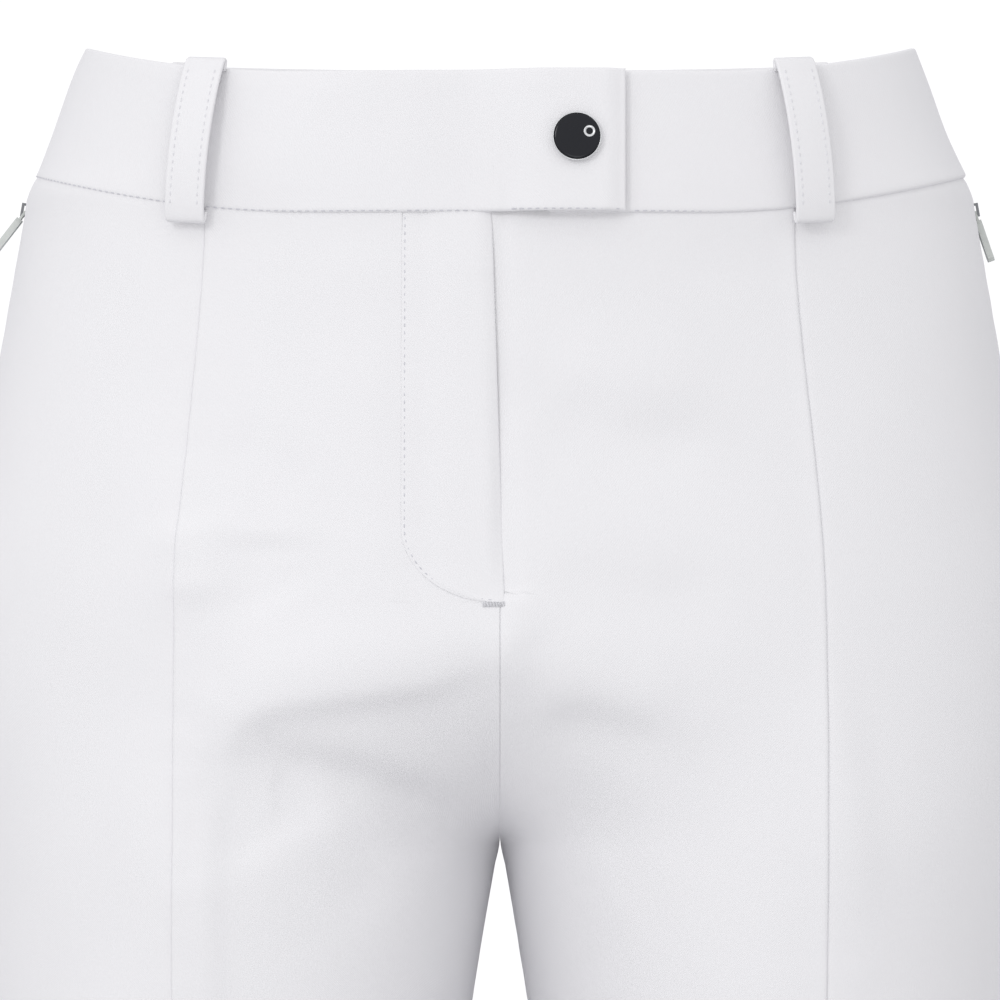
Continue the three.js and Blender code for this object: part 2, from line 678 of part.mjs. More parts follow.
add('waistband_front_left', bandFrontLeft(), 'shell');
add('waistband_front_right', mirrored(bandPanel(bandRightEdges)), 'shell');
add('waistband_end_right', mirrored(bandPanel(bandEndEdges)), 'shell');
addPair('waistband_back', bandPanel(bandBackEdges), 'shell');
add('waistband_tab', bandTab(), 'shell');
add('waistband_facing_front_left', facing(bandLeftEdges, 11), 'facing');
add('waistband_facing_front_right', mirrored(facing(bandRightEdges, 11)), 'facing');
addPair('waistband_facing_back', facing(bandBackEdges, 13), 'facing');

const frontLoop = beltLoop(angleAtX(-25, 105, 1), { lean: 0.048, share: 1.07, drop: 0 });
addPair('belt_loop_front', frontLoop, 'shell');
addPair('belt_loop_side', beltLoop(angleAtX(-15, 118, -1)), 'shell');
add('belt_loop_back', beltLoop(angleAtX(-12, 0, -1), { centre: true }), 'shell');

snapParts();
add('fly_flap', flyFlap(), 'shell');
add('fly_shield', flyShield(), 'lining');
flyZip();
pocket();
cuffParts();

export default pants;
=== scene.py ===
import math

import bmesh
import bpy
import numpy as np
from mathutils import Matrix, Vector


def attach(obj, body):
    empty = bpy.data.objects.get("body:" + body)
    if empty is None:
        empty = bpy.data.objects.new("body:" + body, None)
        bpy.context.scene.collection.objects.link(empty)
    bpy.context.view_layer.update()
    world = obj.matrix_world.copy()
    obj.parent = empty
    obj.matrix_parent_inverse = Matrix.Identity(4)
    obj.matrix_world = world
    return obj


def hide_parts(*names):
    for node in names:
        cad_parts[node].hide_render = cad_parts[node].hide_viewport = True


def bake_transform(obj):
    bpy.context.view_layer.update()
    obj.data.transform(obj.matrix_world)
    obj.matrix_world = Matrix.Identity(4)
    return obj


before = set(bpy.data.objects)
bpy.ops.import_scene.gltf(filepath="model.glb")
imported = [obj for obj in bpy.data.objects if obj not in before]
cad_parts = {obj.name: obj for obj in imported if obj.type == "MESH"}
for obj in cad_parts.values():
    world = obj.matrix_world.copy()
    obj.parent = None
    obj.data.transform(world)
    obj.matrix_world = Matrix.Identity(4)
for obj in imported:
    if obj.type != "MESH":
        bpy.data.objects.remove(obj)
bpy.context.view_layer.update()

# Lengths in this file are millimetres unless a name ends in _M; meshes are scaled to metres when made.
# The wearer's left is +X and the front faces -Y. Everything is worked out on the left side first.
MM = 0.001
LEFT, RIGHT = 1, -1
SIDES = {"left": LEFT, "right": RIGHT}

# ---- camera ----


def make_camera():
    data = bpy.data.cameras.new("camera")
    data.lens = 228
    data.sensor_width = 36
    data.clip_start = 0.1
    data.clip_end = 50
    obj = bpy.data.objects.new("camera", data)
    obj.location = (0, -2.305, -0.1503)
    obj.rotation_euler = (math.radians(90), 0, 0)
    bpy.context.collection.objects.link(obj)
    bpy.context.scene.camera = obj


make_camera()

# ---- the garment's surface, the same as the CAD's ----
GAP = 0.3
SEAM = 0.04        # half the groove left between two sewn pieces
CLOTH = 1.2
BAND_PROUD = 1.8
BAND_THICK = BAND_PROUD + CLOTH
CLEFT_TOP_Z, CROTCH_Z, HEM_Z = -195, -275, -1041
ROUNDNESS = 2.4
FLY_FOLD, FLY_CURVE_Z, FLY_END_Z = 34, -160, -186
FLY_ZIP_X = -8
POCKET_TOP_Z, POCKET_END_Z, POCKET_SLOT = -39.5, -171, 4.6
TAB_ROOT_X, TAB_END_X = -2.55, 43.4
TAB_LIFT, TAB_THICK = 4.2, 2.4
SNAP_X, SNAP_Z = 26.4, -24.6

# height, half width, depth to front and back, then leg centre and leg half sizes
STATIONS = np.array([
    [30, 142.5, 90, 84, 84, 0, 92, 100],
    [13.3, 148.8, 91, 87, 85, 0, 92, 100],
    [0, 153.9, 92.1, 90, 85.5, 0, 92, 100],
    [-20, 161.2, 94.1, 95, 86, 0, 92, 100],
    [-32, 166.9, 95.4, 98, 86.5, 0, 92, 100],
    [-40, 171, 96.2, 100, 87, 0, 92, 100],
    [-48, 172.4, 97, 102, 87, 0, 92, 100],
    [-70, 176.3, 99.2, 106, 87.5, 0, 92, 100],
    [-110, 183.3, 103.3, 115, 88.5, 0, 95, 103],
    [-150, 190.3, 107.4, 121, 90.5, 0, 99.8, 106],
    [-175, 194.4, 110, 123.5, 91.5, 1, 102.9, 108],
    [-205, 196.4, 112, 124, 93.5, 3, 102.9, 109],
    [-240, 196.8, 111, 124, 95.5, 4, 101.3, 109],
    [-275, 195, 108, 119, 97.5, 4, 97.5, 108],
    [-332, 189.6, 100, 110, 99.8, 3, 89.8, 104.5],
    [-450, 182, 100, 100, 104, 0, 78.5, 93],
    [-580, 176, 100, 100, 108, -4, 68.5, 81],
    [-750, 174, 100, 100, 113, 2, 63, 73],
    [-900, 180, 100, 100, 117, 6, 66, 75],
    [-1054, 190, 100, 100, 120, 6, 71.5, 81],
], float)


def smooth(t):
    t = np.clip(t, 0, 1)
    return t * t * (3 - 2 * t)


def bell(d, width):
    return np.exp(-((d / width) ** 2))


def station_slopes():
    z, v = STATIONS[:, 0], STATIONS[:, 1:]
    step = (v[:-1] - v[1:]) / (z[:-1] - z[1:])[:, None]
    slopes = np.vstack([step[:1], step[:1], step[1:]])
    up, down = (z[:-2] - z[1:-1])[:, None], (z[1:-1] - z[2:])[:, None]
    slopes[1:-1] = (step[:-1] * down + step[1:] * up) / (up + down)
    slopes[-1] = step[-1]
    return slopes


SLOPES = station_slopes()


def station(column, z):
    rows = STATIONS[:, 0]
    i = np.clip(np.searchsorted(-rows, -z, side="right") - 1, 0, len(rows) - 2)
    span = rows[i] - rows[i + 1]
    t = np.clip((z - rows[i + 1]) / span, 0, 1)
    v, m = STATIONS[:, column], SLOPES[:, column - 1]
    low = (2 * t**3 - 3 * t**2 + 1) * v[i + 1] + (t**3 - 2 * t**2 + t) * span * m[i + 1]
    return low + (3 * t**2 - 2 * t**3) * v[i] + (t**3 - t**2) * span * m[i]


def skin_exact(angle, z):
    """Outer face of the shell cloth. Angle 0 is the side seam, positive in front, negative behind."""
    wide, front, back, cx, cy, leg_wide, leg_deep = [station(k, z) for k in range(1, 8)]
    cos, sin = np.cos(angle), np.sin(angle)
    leg = smooth((CLEFT_TOP_Z - z) / (CLEFT_TOP_Z - CROTCH_Z))
    near, far = np.zeros_like(cos), np.full_like(cos, 500)
    for _ in range(30):
        r = (near + far) / 2
        x, y = cx + r * cos, cy - r * sin
        deep = np.where(y < 0, front, back)
        inside = np.abs(x / wide) ** ROUNDNESS + np.abs(y / deep) ** ROUNDNESS < 1
        near, far = np.where(inside, r, near), np.where(inside, far, r)
    leg_r = leg_wide * leg_deep / np.hypot(leg_deep * cos, leg_wide * sin)
    r = near * (1 - leg) + leg_r * leg
    return np.stack([cx + r * cos, cy - r * sin, z + 0 * r], -1)


A_STEP, Z_STEP, Z_FIRST, Z_LAST = math.radians(0.5), 2.0, 36.0, -1066.0
A_FIRST = -math.pi - 0.1
A_GRID = np.arange(A_FIRST, 1.4 * math.pi, A_STEP)
Z_GRID = np.arange(Z_FIRST, Z_LAST, -Z_STEP)
TABLE = skin_exact(*np.meshgrid(A_GRID, Z_GRID))
_across = np.gradient(TABLE, A_STEP, axis=1)
_along = np.gradient(TABLE, -Z_STEP, axis=0)
NORMALS = np.cross(_along, _across)
NORMALS /= np.linalg.norm(NORMALS, axis=-1, keepdims=True)
SPEED = np.linalg.norm(_across, axis=-1)
ARC = np.cumsum(SPEED, axis=1) * A_STEP
ARC -= ARC[:, [int(round(-A_FIRST / A_STEP))]]


def lookup(table, angle, z):
    i = np.clip((angle - A_FIRST) / A_STEP, 0, len(A_GRID) - 1.001)
    j = np.clip((Z_FIRST - z) / Z_STEP, 0, len(Z_GRID) - 1.001)
    i0, j0 = i.astype(int), j.astype(int)
    u, v = i - i0, j - j0
    if table.ndim == 3:
        u, v = u[..., None], v[..., None]
    top = table[j0, i0] * (1 - u) + table[j0, i0 + 1] * u
    low = table[j0 + 1, i0] * (1 - u) + table[j0 + 1, i0 + 1] * u
    return top * (1 - v) + low * v


def skin(angle, z):
    angle, z = np.broadcast_arrays(np.asarray(angle, float), np.asarray(z, float))
    p = lookup(TABLE, angle, z)
    p[..., 2] = z
    return p


def outward(angle, z):
    angle, z = np.broadcast_arrays(np.asarray(angle, float), np.asarray(z, float))
    return lookup(NORMALS, angle, z)


def arc(angle, z):
    return lookup(ARC, *np.broadcast_arrays(np.asarray(angle, float), np.asarray(z, float)))


def at_x(z, x, side):
    """Angle on the front (1) or back (-1) where the surface crosses x."""
    z, x = np.broadcast_arrays(np.asarray(z, float), np.asarray(x, float))
    near, far = np.full(z.shape, side * 0.02), np.full(z.shape, side * math.pi)
    closed = skin(far, z)[..., 0] >= x
    for _ in range(26):
        middle = (near + far) / 2
        beyond = skin(middle, z)[..., 0] > x
        near, far = np.where(beyond, middle, near), np.where(beyond, far, middle)
    return np.where(closed, side * math.pi, near)


def at_arc(z, distance):
    return distance / lookup(SPEED, np.zeros_like(np.asarray(z, float)), np.asarray(z, float))


# ---- seam lines ----
def front_share(a):
    return (1 - np.cos(np.pi * np.clip(a / 1.8, 0, 1))) / 2


def waist_top(a):
    return 13.3 * (1 - front_share(a))


def band_bottom(a):
    return waist_top(a) - (50 - 3 * (1 - front_share(a)))


def crease_x(z):
    return 103.5 + 10.5 * smooth((-45 - z) / 150) + 9 * smooth((-640 - z) / 400)


def yoke_seam(a):
    return -72 - 42 * np.minimum(1, -a / 2)


def fly_edge(z):
    t = np.clip((FLY_CURVE_Z - z) / (FLY_CURVE_Z - FLY_END_Z), 0, 1)
    return FLY_FOLD * np.sqrt(1 - t * t)


def side_slot(z):
    open_top = smooth((POCKET_TOP_Z + 1.5 - z) / 3)
    open_low = smooth((z - POCKET_END_Z + 1.5) / 3)
    return SEAM + (POCKET_SLOT - SEAM) * open_top * open_low


SEAM_Z = np.concatenate([
    np.arange(34, -150, -1.0), np.arange(-150, -188, -0.1), np.arange(-188, -1064, -1.0)])


def seam(fn):
    """The angle of a seam at any height, from a table worked out once."""
    values = fn(SEAM_Z)
    return lambda z: np.interp(-np.asarray(z, float), -SEAM_Z, values)


crease = seam(lambda z: at_x(z, crease_x(z), 1))
slot_front = seam(lambda z: at_arc(z, side_slot(z)))
slot_back = seam(lambda z: -at_arc(z, side_slot(z)))
side_front = seam(lambda z: at_arc(z, SEAM))
side_back = seam(lambda z: -at_arc(z, SEAM))
centre_back = seam(lambda z: at_x(z, SEAM, -1))
crease_out = seam(lambda z: at_x(z, crease_x(z), 1) + at_arc(z, 0.5))
crease_in = seam(lambda z: at_x(z, crease_x(z), 1))
inner_left_edge = seam(lambda z: at_x(z, np.where(z < FLY_END_Z + 3, -SEAM, -4.3), 1))
inner_right_edge = seam(lambda z: np.where(z <= FLY_END_Z, at_x(z, SEAM, 1), at_x(z, fly_edge(z) + SEAM, 1)))
flap_root = seam(lambda z: at_x(z, fly_edge(z) + 0.3, 1))


def flap_edge_x(z):
    """The flap's free edge slants from its top to its foot."""
    return 2.8 - 4.3 * np.clip((-51 - z) / 132, 0, 1)


flap_free = seam(lambda z: at_x(z, flap_edge_x(z), 1))


def x_seam(x):
    return seam(lambda z: at_x(z, x, 1))


# ---- folds of the worn cloth ----
# Each fold: points (x, z), soft width on one side and on the other, height. x is in the world.
FRONT_FOLDS = [
    ([(-97, -246), (-97, -236), (-91, -226), (-80, -220.5), (-60, -217), (-26, -212), (-2, -203)],
     22, 7, 4.4),
    ([(-93, -246), (-78, -242), (-52, -249), (-29, -258), (-9, -272)], 9, 14, -5.2),
    ([(-56, -254), (-80, -264), (-100, -276)], 7, 18, -2.8),
    ([(-103, -262), (-103, -300), (-102, -345)], 6, 22, 2.4),
    ([(-24, -252), (-36, -266), (-34, -290)], 12, 12, 1.0),
    ([(-110, -152), (-107, -172), (-103, -192)], 13, 14, 3.2),
    ([(-84, -160), (-84, -176), (-76, -190)], 16, 12, -2.2),
    ([(-47, -80), (-46, -140), (-41, -176), (-27, -197)], 12, 18, 1.4),
    ([(-100, -128), (-80, -140), (-60, -146)], 12, 14, -1.2),
    ([(12, -234), (30, -228), (46, -232), (60, -240)], 8, 12, -1.6),
    ([(8, -214), (36, -218), (66, -226)], 14, 10, 1.8),
    ([(3.5, -178), (4, -200), (7, -220)], 10, 7, 1.6),
    ([(12, -116), (40, -130), (80, -133)], 10, 16, -1.8),
    ([(14, -98), (44, -108), (80, -112)], 16, 10, 1.2),
    ([(12, -176), (50, -186), (84, -182)], 12, 18, -1.4),
    ([(-16, -262), (-40, -276), (-62, -300)], 10, 18, -1.4),
    ([(16, -262), (34, -280), (48, -312)], 8, 16, 0.8),
    ([(114, -205), (121, -262), (126, -310)], 9, 18, 1.8),
    ([(-128, -196), (-140, -240), (-142, -300)], 12, 18, -1.2),
    ([(62, -560), (100, -572), (150, -562)], 9, 14, 1.6),
    ([(-64, -552), (-108, -566), (-152, -574)], 9, 14, 1.7),
    ([(70, -604), (112, -611), (160, -600)], 10, 16, 1.3),
    ([(-72, -596), (-116, -606), (-160, -600)], 9, 15, 1.2),
    ([(80, -648), (126, -642), (164, -632)], 10, 14, 1.1),
    ([(-78, -650), (-118, -644), (-158, -634)], 10, 16, 1.2),
    ([(66, -905), (110, -921), (168, -912)], 9, 15, 1.8),
    ([(-70, -914), (-118, -926), (-170, -908)], 9, 14, 1.6),
    ([(62, -958), (106, -968), (162, -958)], 8, 14, 1.9),
    ([(-64, -952), (-104, -966), (-166, -964)], 8, 15, 2.0),
    ([(72, -1000), (124, -1010), (176, -1002)], 8, 13, 1.3),
    ([(-68, -1004), (-120, -1008), (-172, -998)], 8, 12, 1.4),
]
BACK_FOLDS = [
    ([(10, -288), (34, -270), (70, -262), (108, -266)], 6, 16, -2.2),
    ([(-9, -286), (-36, -268), (-72, -261), (-112, -268)], 6, 17, -2.1),
    ([(26, -312), (58, -298), (98, -296)], 8, 14, 1.3),
    ([(-24, -314), (-60, -300), (-100, -300)], 8, 13, 1.2),
    ([(18, -210), (52, -226), (92, -226)], 12, 16, -0.9),
    ([(-20, -214), (-54, -228), (-96, -224)], 12, 16, -0.9),
    ([(1, -96), (0, -170), (1, -230)], 9, 9, -1.2),
    ([(128, -120), (136, -176), (134, -228)], 12, 18, -0.8),
    ([(-130, -128), (-137, -180), (-134, -232)], 12, 18, -0.8),
    ([(62, -578), (108, -568), (158, -580)], 7, 12, -2.2),
    ([(-60, -574), (-110, -570), (-160, -584)], 7, 12, -2.1),
    ([(60, -598), (104, -590), (150, -600)], 8, 11, 1.8),
    ([(-62, -600), (-106, -590), (-156, -604)], 8, 11, 1.8),
    ([(66, -628), (112, -616), (162, -630)], 7, 12, -1.8),
    ([(-64, -626), (-112, -618), (-160, -634)], 7, 12, -1.9),
    ([(72, -664), (116, -652), (156, -660)], 9, 12, 1.2),
    ([(-74, -666), (-116, -654), (-158, -658)], 9, 12, 1.2),
    ([(64, -930), (116, -918), (170, -928)], 8, 14, 1.8),
    ([(-64, -926), (-118, -916), (-168, -930)], 8, 14, 1.8),
    ([(66, -976), (118, -966), (172, -974)], 8, 13, 1.8),
    ([(-66, -980), (-116, -968), (-172, -976)], 8, 13, 1.7),
]
WAVES = np.random.default_rng(7).uniform(0, 2 * math.pi, (14, 2))


def fold_height(x, z, folds):
    total = np.zeros_like(x)
    for points, wide_a, wide_b, height in folds:
        pts = np.array(points, float)
        best, signed, along = np.full(x.shape, 1e9), np.zeros_like(x), np.zeros_like(x)
        lengths = np.hypot(*np.diff(pts, axis=0).T)
        total_length, run = lengths.sum(), 0.0
        for (ax, az), (bx, bz), length in zip(pts[:-1], pts[1:], lengths):
            tx, tz = (bx - ax) / length, (bz - az) / length
            t = np.clip((x - ax) * tx + (z - az) * tz, 0, length)
            dx, dz = x - ax - t * tx, z - az - t * tz
            d = np.hypot(dx, dz)
            closer = d < best
            best = np.where(closer, d, best)
            signed = np.where(closer, tx * dz - tz * dx, signed)
            along = np.where(closer, (run + t) / total_length, along)
            run += length
        # the sharp side is above a fold that runs towards +X
        width = wide_b + (wide_a - wide_b) * smooth((signed + 4) / 8)
        ends = smooth(along / 0.28) * smooth((1 - along) / 0.34)
        total += height * (0.25 + 0.75 * ends) * bell(best, width) * np.where(best > 4 * width, 0, 1)
    return total


def ripple(x, y, z):
    """Slow seeded unevenness of worn cloth, in millimetres."""
    total = np.zeros_like(x)
    for k, (direction, phase) in enumerate(WAVES):
        length = 34 + 13 * k
        q = (x * math.cos(direction) + y * math.sin(direction * 1.7)) * 0.8 + z * math.sin(direction) * 0.7
        total += 0.0011 * length * np.sin(2 * math.pi * q / length + phase + 0.6 * np.sin(z / 57 + phase))
    return total


def relief(side, angle, z):
    """How far the folds move the shell cloth along its normal."""
    p, n = skin(angle, z), outward(angle, z)
    x, ny = side * p[..., 0], n[..., 1]
    front, back = smooth((-ny + 0.05) / 0.5), smooth((ny + 0.05) / 0.5)
    height = front * fold_height(x, p[..., 2], FRONT_FOLDS) + back * fold_height(x, p[..., 2], BACK_FOLDS)
    height = height + ripple(x, p[..., 1], p[..., 2])
    near_band = smooth((band_bottom(angle) - p[..., 2]) / 22)
    from_slot = np.abs(arc(angle, z))
    pocket = 1 - 0.92 * (1 - smooth((from_slot - 8) / 22)) * smooth((p[..., 2] - POCKET_END_Z + 20) / 20)
    # both sides of the body meet at the same height on the centre line
    centre = np.where(p[..., 2] < CROTCH_Z - 6, 1.0, smooth((p[..., 0] + 1) / 5))
    middle = p * [0, 1, 1]
    shared = (front * fold_height(0 * x, middle[..., 2], FRONT_FOLDS)
              + back * fold_height(0 * x, middle[..., 2], BACK_FOLDS))
    height = height * centre + shared * (1 - centre)
    return height * (0.12 + 0.88 * near_band) * pocket


def pucker(side, run, d, size=0.2, reach=7.0, pitch=14.0):
    """Small gathers along a stitched seam: run is the way along it and d the distance from it."""
    wave = np.sin(2 * math.pi * (run + 3 * np.sin(run / 37 + side)) / pitch)
    wave = wave * (0.6 + 0.4 * np.sin(run / 61 + 2 * side))
    return size * wave * np.exp(-np.abs(d) / reach)


# ---- edge profiles: height over the plain cloth at distance d from the edge ----
def lap_over(d):
    return 0.5 * bell(d, 4.2) - 0.5 * bell(d, 0.45)


def lap_under(d):
    return -0.55 * bell(d, 1.3) - 0.15 * bell(d, 6)


def sewn(d):
    return -0.45 * bell(d, 0.9)


def folded(d):
    return 0.35 * bell(d - 2.2, 3) - 0.25 * bell(d, 0.5)


def hem_fold(d):
    return 0.3 * smooth((26 - d) / 1.5) * (1 - 0.5 * bell(d - 24, 1.2))


def nothing(d):
    return 0 * d


TUCK = 1.6         # how far the shell's top edge goes up inside the waistband


def tucked(d):
    return -0.3 * bell(d - TUCK, 0.9) + 0.55 * bell(d, 7)


def tuck_top(a):
    return band_bottom(a) + TUCK


def edge_steps(total, spacing, fine=(0, 0.35, 0.9, 1.8, 3, 4.6, 6.6)):
    """Distances across a panel of this width, close together at both edges."""
    fine = np.array(fine)
    if total < 2.4 * fine[-1]:
        fine = fine * total / (2.4 * fine[-1])
    middle = max(2, int(round((total - 2 * fine[-1]) / spacing)))
    inside = np.linspace(fine[-1], total - fine[-1], middle + 1)[1:-1]
    return np.concatenate([fine, inside, total - fine[::-1]])


# ---- meshes ----
OBJECTS, MADE_OF = {}, {}


def piece_name(name):
    return name + "_made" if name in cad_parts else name


def make_object(name, points, faces, material, uvs=None, flat_faces=0):
    mesh = bpy.data.meshes.new(name)
    points = np.asarray(points, float).reshape(-1, 3) * MM
    faces = np.asarray(faces)
    mesh.vertices.add(len(points))
    mesh.vertices.foreach_set("co", points.ravel())
    count, corners = faces.shape
    mesh.loops.add(count * corners)
    mesh.loops.foreach_set("vertex_index", faces.ravel().astype(np.int32))
    mesh.polygons.add(count)
    mesh.polygons.foreach_set("loop_start", np.arange(0, count * corners, corners, dtype=np.int32))
    shade = np.full(count, True)
    shade[count - flat_faces:] = False
    mesh.polygons.foreach_set("use_smooth", shade)
    if uvs is not None:
        layer = mesh.uv_layers.new(name="cloth")
        layer.data.foreach_set("uv", (np.asarray(uvs)[faces.ravel()] * MM).ravel())
    mesh.update()
    mesh.validate()
    obj = bpy.data.objects.new(piece_name(name), mesh)
    obj.data.materials.append(MATERIALS[material])
    bpy.context.collection.objects.link(obj)
    OBJECTS[name], MADE_OF[name] = obj, material
    return obj


def grid_faces(rows, columns, offset=0, flip=False, wrap=False):
    r, c = np.meshgrid(np.arange(rows - 1), np.arange(columns if wrap else columns - 1), indexing="ij")
    a, b = r * columns + c, r * columns + (c + 1) % columns
    quads = np.stack([a, a + columns, b + columns, b], -1).reshape(-1, 4) + offset
    return quads[:, ::-1] if flip else quads


def close_grid(outer, inner, side, wrap=False):
    """Points and faces of a closed sheet from its outer and inner grids."""
    rows, columns = outer.shape[:2]
    n = rows * columns
    at = lambda face, r, c: face * n + r * columns + c
    faces = [grid_faces(rows, columns, 0, False, wrap), grid_faces(rows, columns, n, True, wrap)]
    c = np.arange(columns if wrap else columns - 1)
    d = (c + 1) % columns
    faces.append(np.stack([at(0, 0, c), at(0, 0, d), at(1, 0, d), at(1, 0, c)], -1))
    last = rows - 1
    faces.append(np.stack([at(0, last, d), at(0, last, c), at(1, last, c), at(1, last, d)], -1))
    if not wrap:
        r = np.arange(rows - 1)
        faces.append(np.stack([at(0, r + 1, 0), at(0, r, 0), at(1, r, 0), at(1, r + 1, 0)], -1))
        e = columns - 1
        faces.append(np.stack([at(0, r, e), at(0, r + 1, e), at(1, r + 1, e), at(1, r, e)], -1))
    faces = np.vstack(faces)
    points = np.concatenate([outer.reshape(-1, 3), inner.reshape(-1, 3)])
    a, b, c, d = [points[faces[:, k]] for k in range(4)]
    volume = np.einsum("ij,ij->", a, np.cross(b, c)) + np.einsum("ij,ij->", a, np.cross(c, d))
    return points, (faces if volume > 0 else faces[:, ::-1])


def mirror(points, side):
    return points * np.array([side, 1, 1])


def thinning(d, radius):
    """Share of the thickness left at distance d from a rounded edge."""
    t = np.clip(d / radius, 0, 1)
    return 0.3 + 0.7 * np.sqrt(1 - (1 - t) ** 2)


PLAIN = (nothing,) * 4    # four edges without a seam's relief


def panel(name, side, left, right, top, bottom, material="shell", base=0.0, thick=CLOTH, spacing=(3.2, 3.0),
          edges=(sewn, sewn, sewn, sewn), folds=True, extra=None, z_extra=(), reference=0.9,
          fine=(0, 0.35, 0.9, 1.8, 3, 4.6, 6.6), low_spacing=None, puckers=(0, 0, 0, 0), round_r=0.6,
          butt=(), centre_from=None):
    """A closed cloth panel between two seam angles and two heights, with its own seam edges and folds."""
    top_f = top if callable(top) else (lambda a: top + 0 * a)
    low_f = bottom if callable(bottom) else (lambda a: bottom + 0 * a)
    ref_a = np.array(reference)
    z0, z1 = float(top_f(ref_a)), float(low_f(ref_a))
    height = z0 - z1
    down = edge_steps(height, spacing[1], fine)
    if low_spacing is not None:
        keep = down[down < (z0 - low_spacing[0])]
        more = np.arange(keep[-1] + low_spacing[1], height - fine[-1], low_spacing[1])
        down = np.concatenate([keep, more, height - np.array(fine)[::-1]])
    down = np.unique(np.round(np.concatenate([down, [z0 - z for z in z_extra]]), 3))
    down = down[(down >= 0) & (down <= height)]
    v = (down / height)[:, None]
    widths = arc(right(np.linspace(z0, z1, 40)), np.linspace(z0, z1, 40)) - arc(
        left(np.linspace(z0, z1, 40)), np.linspace(z0, z1, 40))
    direction = 1 if widths.mean() > 0 else -1
    across = edge_steps(np.abs(widths).max(), spacing[0], fine)
    k = len(fine)
    inner_share = np.linspace(0, 1, len(across) - 2 * (k - 1))
    z = z0 + (z1 - z0) * v + 0 * across[None, :]
    for _ in range(6):
        lo, hi = left(z), right(z)
        a_lo, a_hi = arc(lo, z), arc(hi, z)
        width = np.abs(a_hi - a_lo)
        shrink = np.minimum(1, width / (2.6 * fine[-1]))
        first = np.array(fine)[None, :] * shrink[:, :k]
        last = width[:, -k:] - np.array(fine)[::-1][None, :] * shrink[:, -k:]
        start, stop = fine[-1] * shrink, width - fine[-1] * shrink
        inner = slice(k - 1, len(across) - k + 1)
        middle = start[:, inner] + (stop - start)[:, inner] * inner_share
        dist = np.concatenate([first, middle[:, 1:-1], last], 1)
        angle = lo + (hi - lo) * dist / width
        # the angle runs unevenly along the arc, so it is corrected once towards the wanted distance
        real = np.abs(arc(angle, z) - a_lo)
        angle = angle + direction * (dist - real) / lookup(SPEED, angle, z)
        angle[:, 0], angle[:, -1] = lo[:, 0], hi[:, -1]
        z = top_f(angle) + (low_f(angle) - top_f(angle)) * v
    dl, dr = dist, width - dist
    dt, db = top_f(angle) - z, z - low_f(angle)
    lift = base(angle, z) if callable(base) else base
    lift = lift + edges[0](dl) + edges[1](dr) + edges[2](dt) + edges[3](db)
    if folds:
        lift = lift + relief(side, angle, z)
    for size, d, run in zip(puckers, (dl, dr, dt, db), (z, z, arc(angle, z), arc(angle, z))):
        if size:
            lift = lift + pucker(side, run, d, size)
    if extra is not None:
        lift = lift + extra(angle, z, dl, dr, dt, db)
    depth = thick(angle, z) if callable(thick) else thick
    depth = depth + 0 * lift
    left_over = 1.0 + 0 * lift
    for k, d in enumerate((dl, dr, dt, db)):
        if k not in butt:
            left_over = np.minimum(left_over, thinning(d, round_r))
    loss = depth * (1 - left_over) / 2
    p, n = skin(angle, z), outward(angle, z)
    outer = p + n * (lift - loss)[..., None]
    inner = p + n * (lift - depth + loss)[..., None]
    if centre_from is not None:
        # the folds would part the two sides along the centre seam, so its edge stays on the centre line
        hold = smooth((z - CROTCH_Z) / 6) * smooth((centre_from - z) / 3) * bell(dr, 6)
        for face in (outer, inner):
            face[..., 0] += hold * ((-0.3 if side == LEFT else 0.05) - face[:, -1:, 0])
    points, faces = close_grid(mirror(outer, side), mirror(inner, side), side)
    uv = np.stack([arc(angle, z), z], -1).reshape(-1, 2)
    rim = len(faces) - 2 * (outer.shape[0] - 1) * (outer.shape[1] - 1)
    return make_object(name, points, faces, material, np.concatenate([uv, uv * [-1, 1] + [500, 0]]), rim)


# ---- materials ----
MATERIALS = {}


def new_material(name, color, rough, **sockets):
    mat = bpy.data.materials.new(name)
    mat.use_nodes = True
    tree = mat.node_tree
    shader = next(n for n in tree.nodes if n.type == "BSDF_PRINCIPLED")
    shader.inputs["Base Color"].default_value = (*color, 1)
    shader.inputs["Roughness"].default_value = rough
    for key, value in sockets.items():
        shader.inputs[key.replace("_", " ")].default_value = value
    MATERIALS[name] = mat
    return mat, tree, shader


def node(tree, kind, inputs=None, **settings):
    made = tree.nodes.new(kind)
    for key, value in settings.items():
        setattr(made, key, value)
    for key, value in (inputs or {}).items():
        if isinstance(value, bpy.types.NodeSocket):
            tree.links.new(value, made.inputs[key])
        else:
            made.inputs[key].default_value = value
    return made


def math_node(tree, operation, a, b=0.0):
    return node(tree, "ShaderNodeMath", {0: a, 1: b}, operation=operation).outputs[0]


def vary_color(tree, shader, color, source, scale, amount, detail=3.0):
    """Mixes the base colour between a slightly darker and lighter one with noise."""
    noise = node(tree, "ShaderNodeTexNoise", {
        "Vector": source, "Scale": scale, "Detail": detail, "Roughness": 0.6})
    ramp = node(tree, "ShaderNodeValToRGB", {"Fac": noise.outputs["Fac"]})
    ramp.color_ramp.elements[0].position, ramp.color_ramp.elements[1].position = 0.3, 0.7
    for element, share in zip(ramp.color_ramp.elements, (1 - amount, 1 + amount * 0.6)):
        element.color = (*[min(1, c * share) for c in color], 1)
    tree.links.new(ramp.outputs["Color"], shader.inputs["Base Color"])
    return ramp


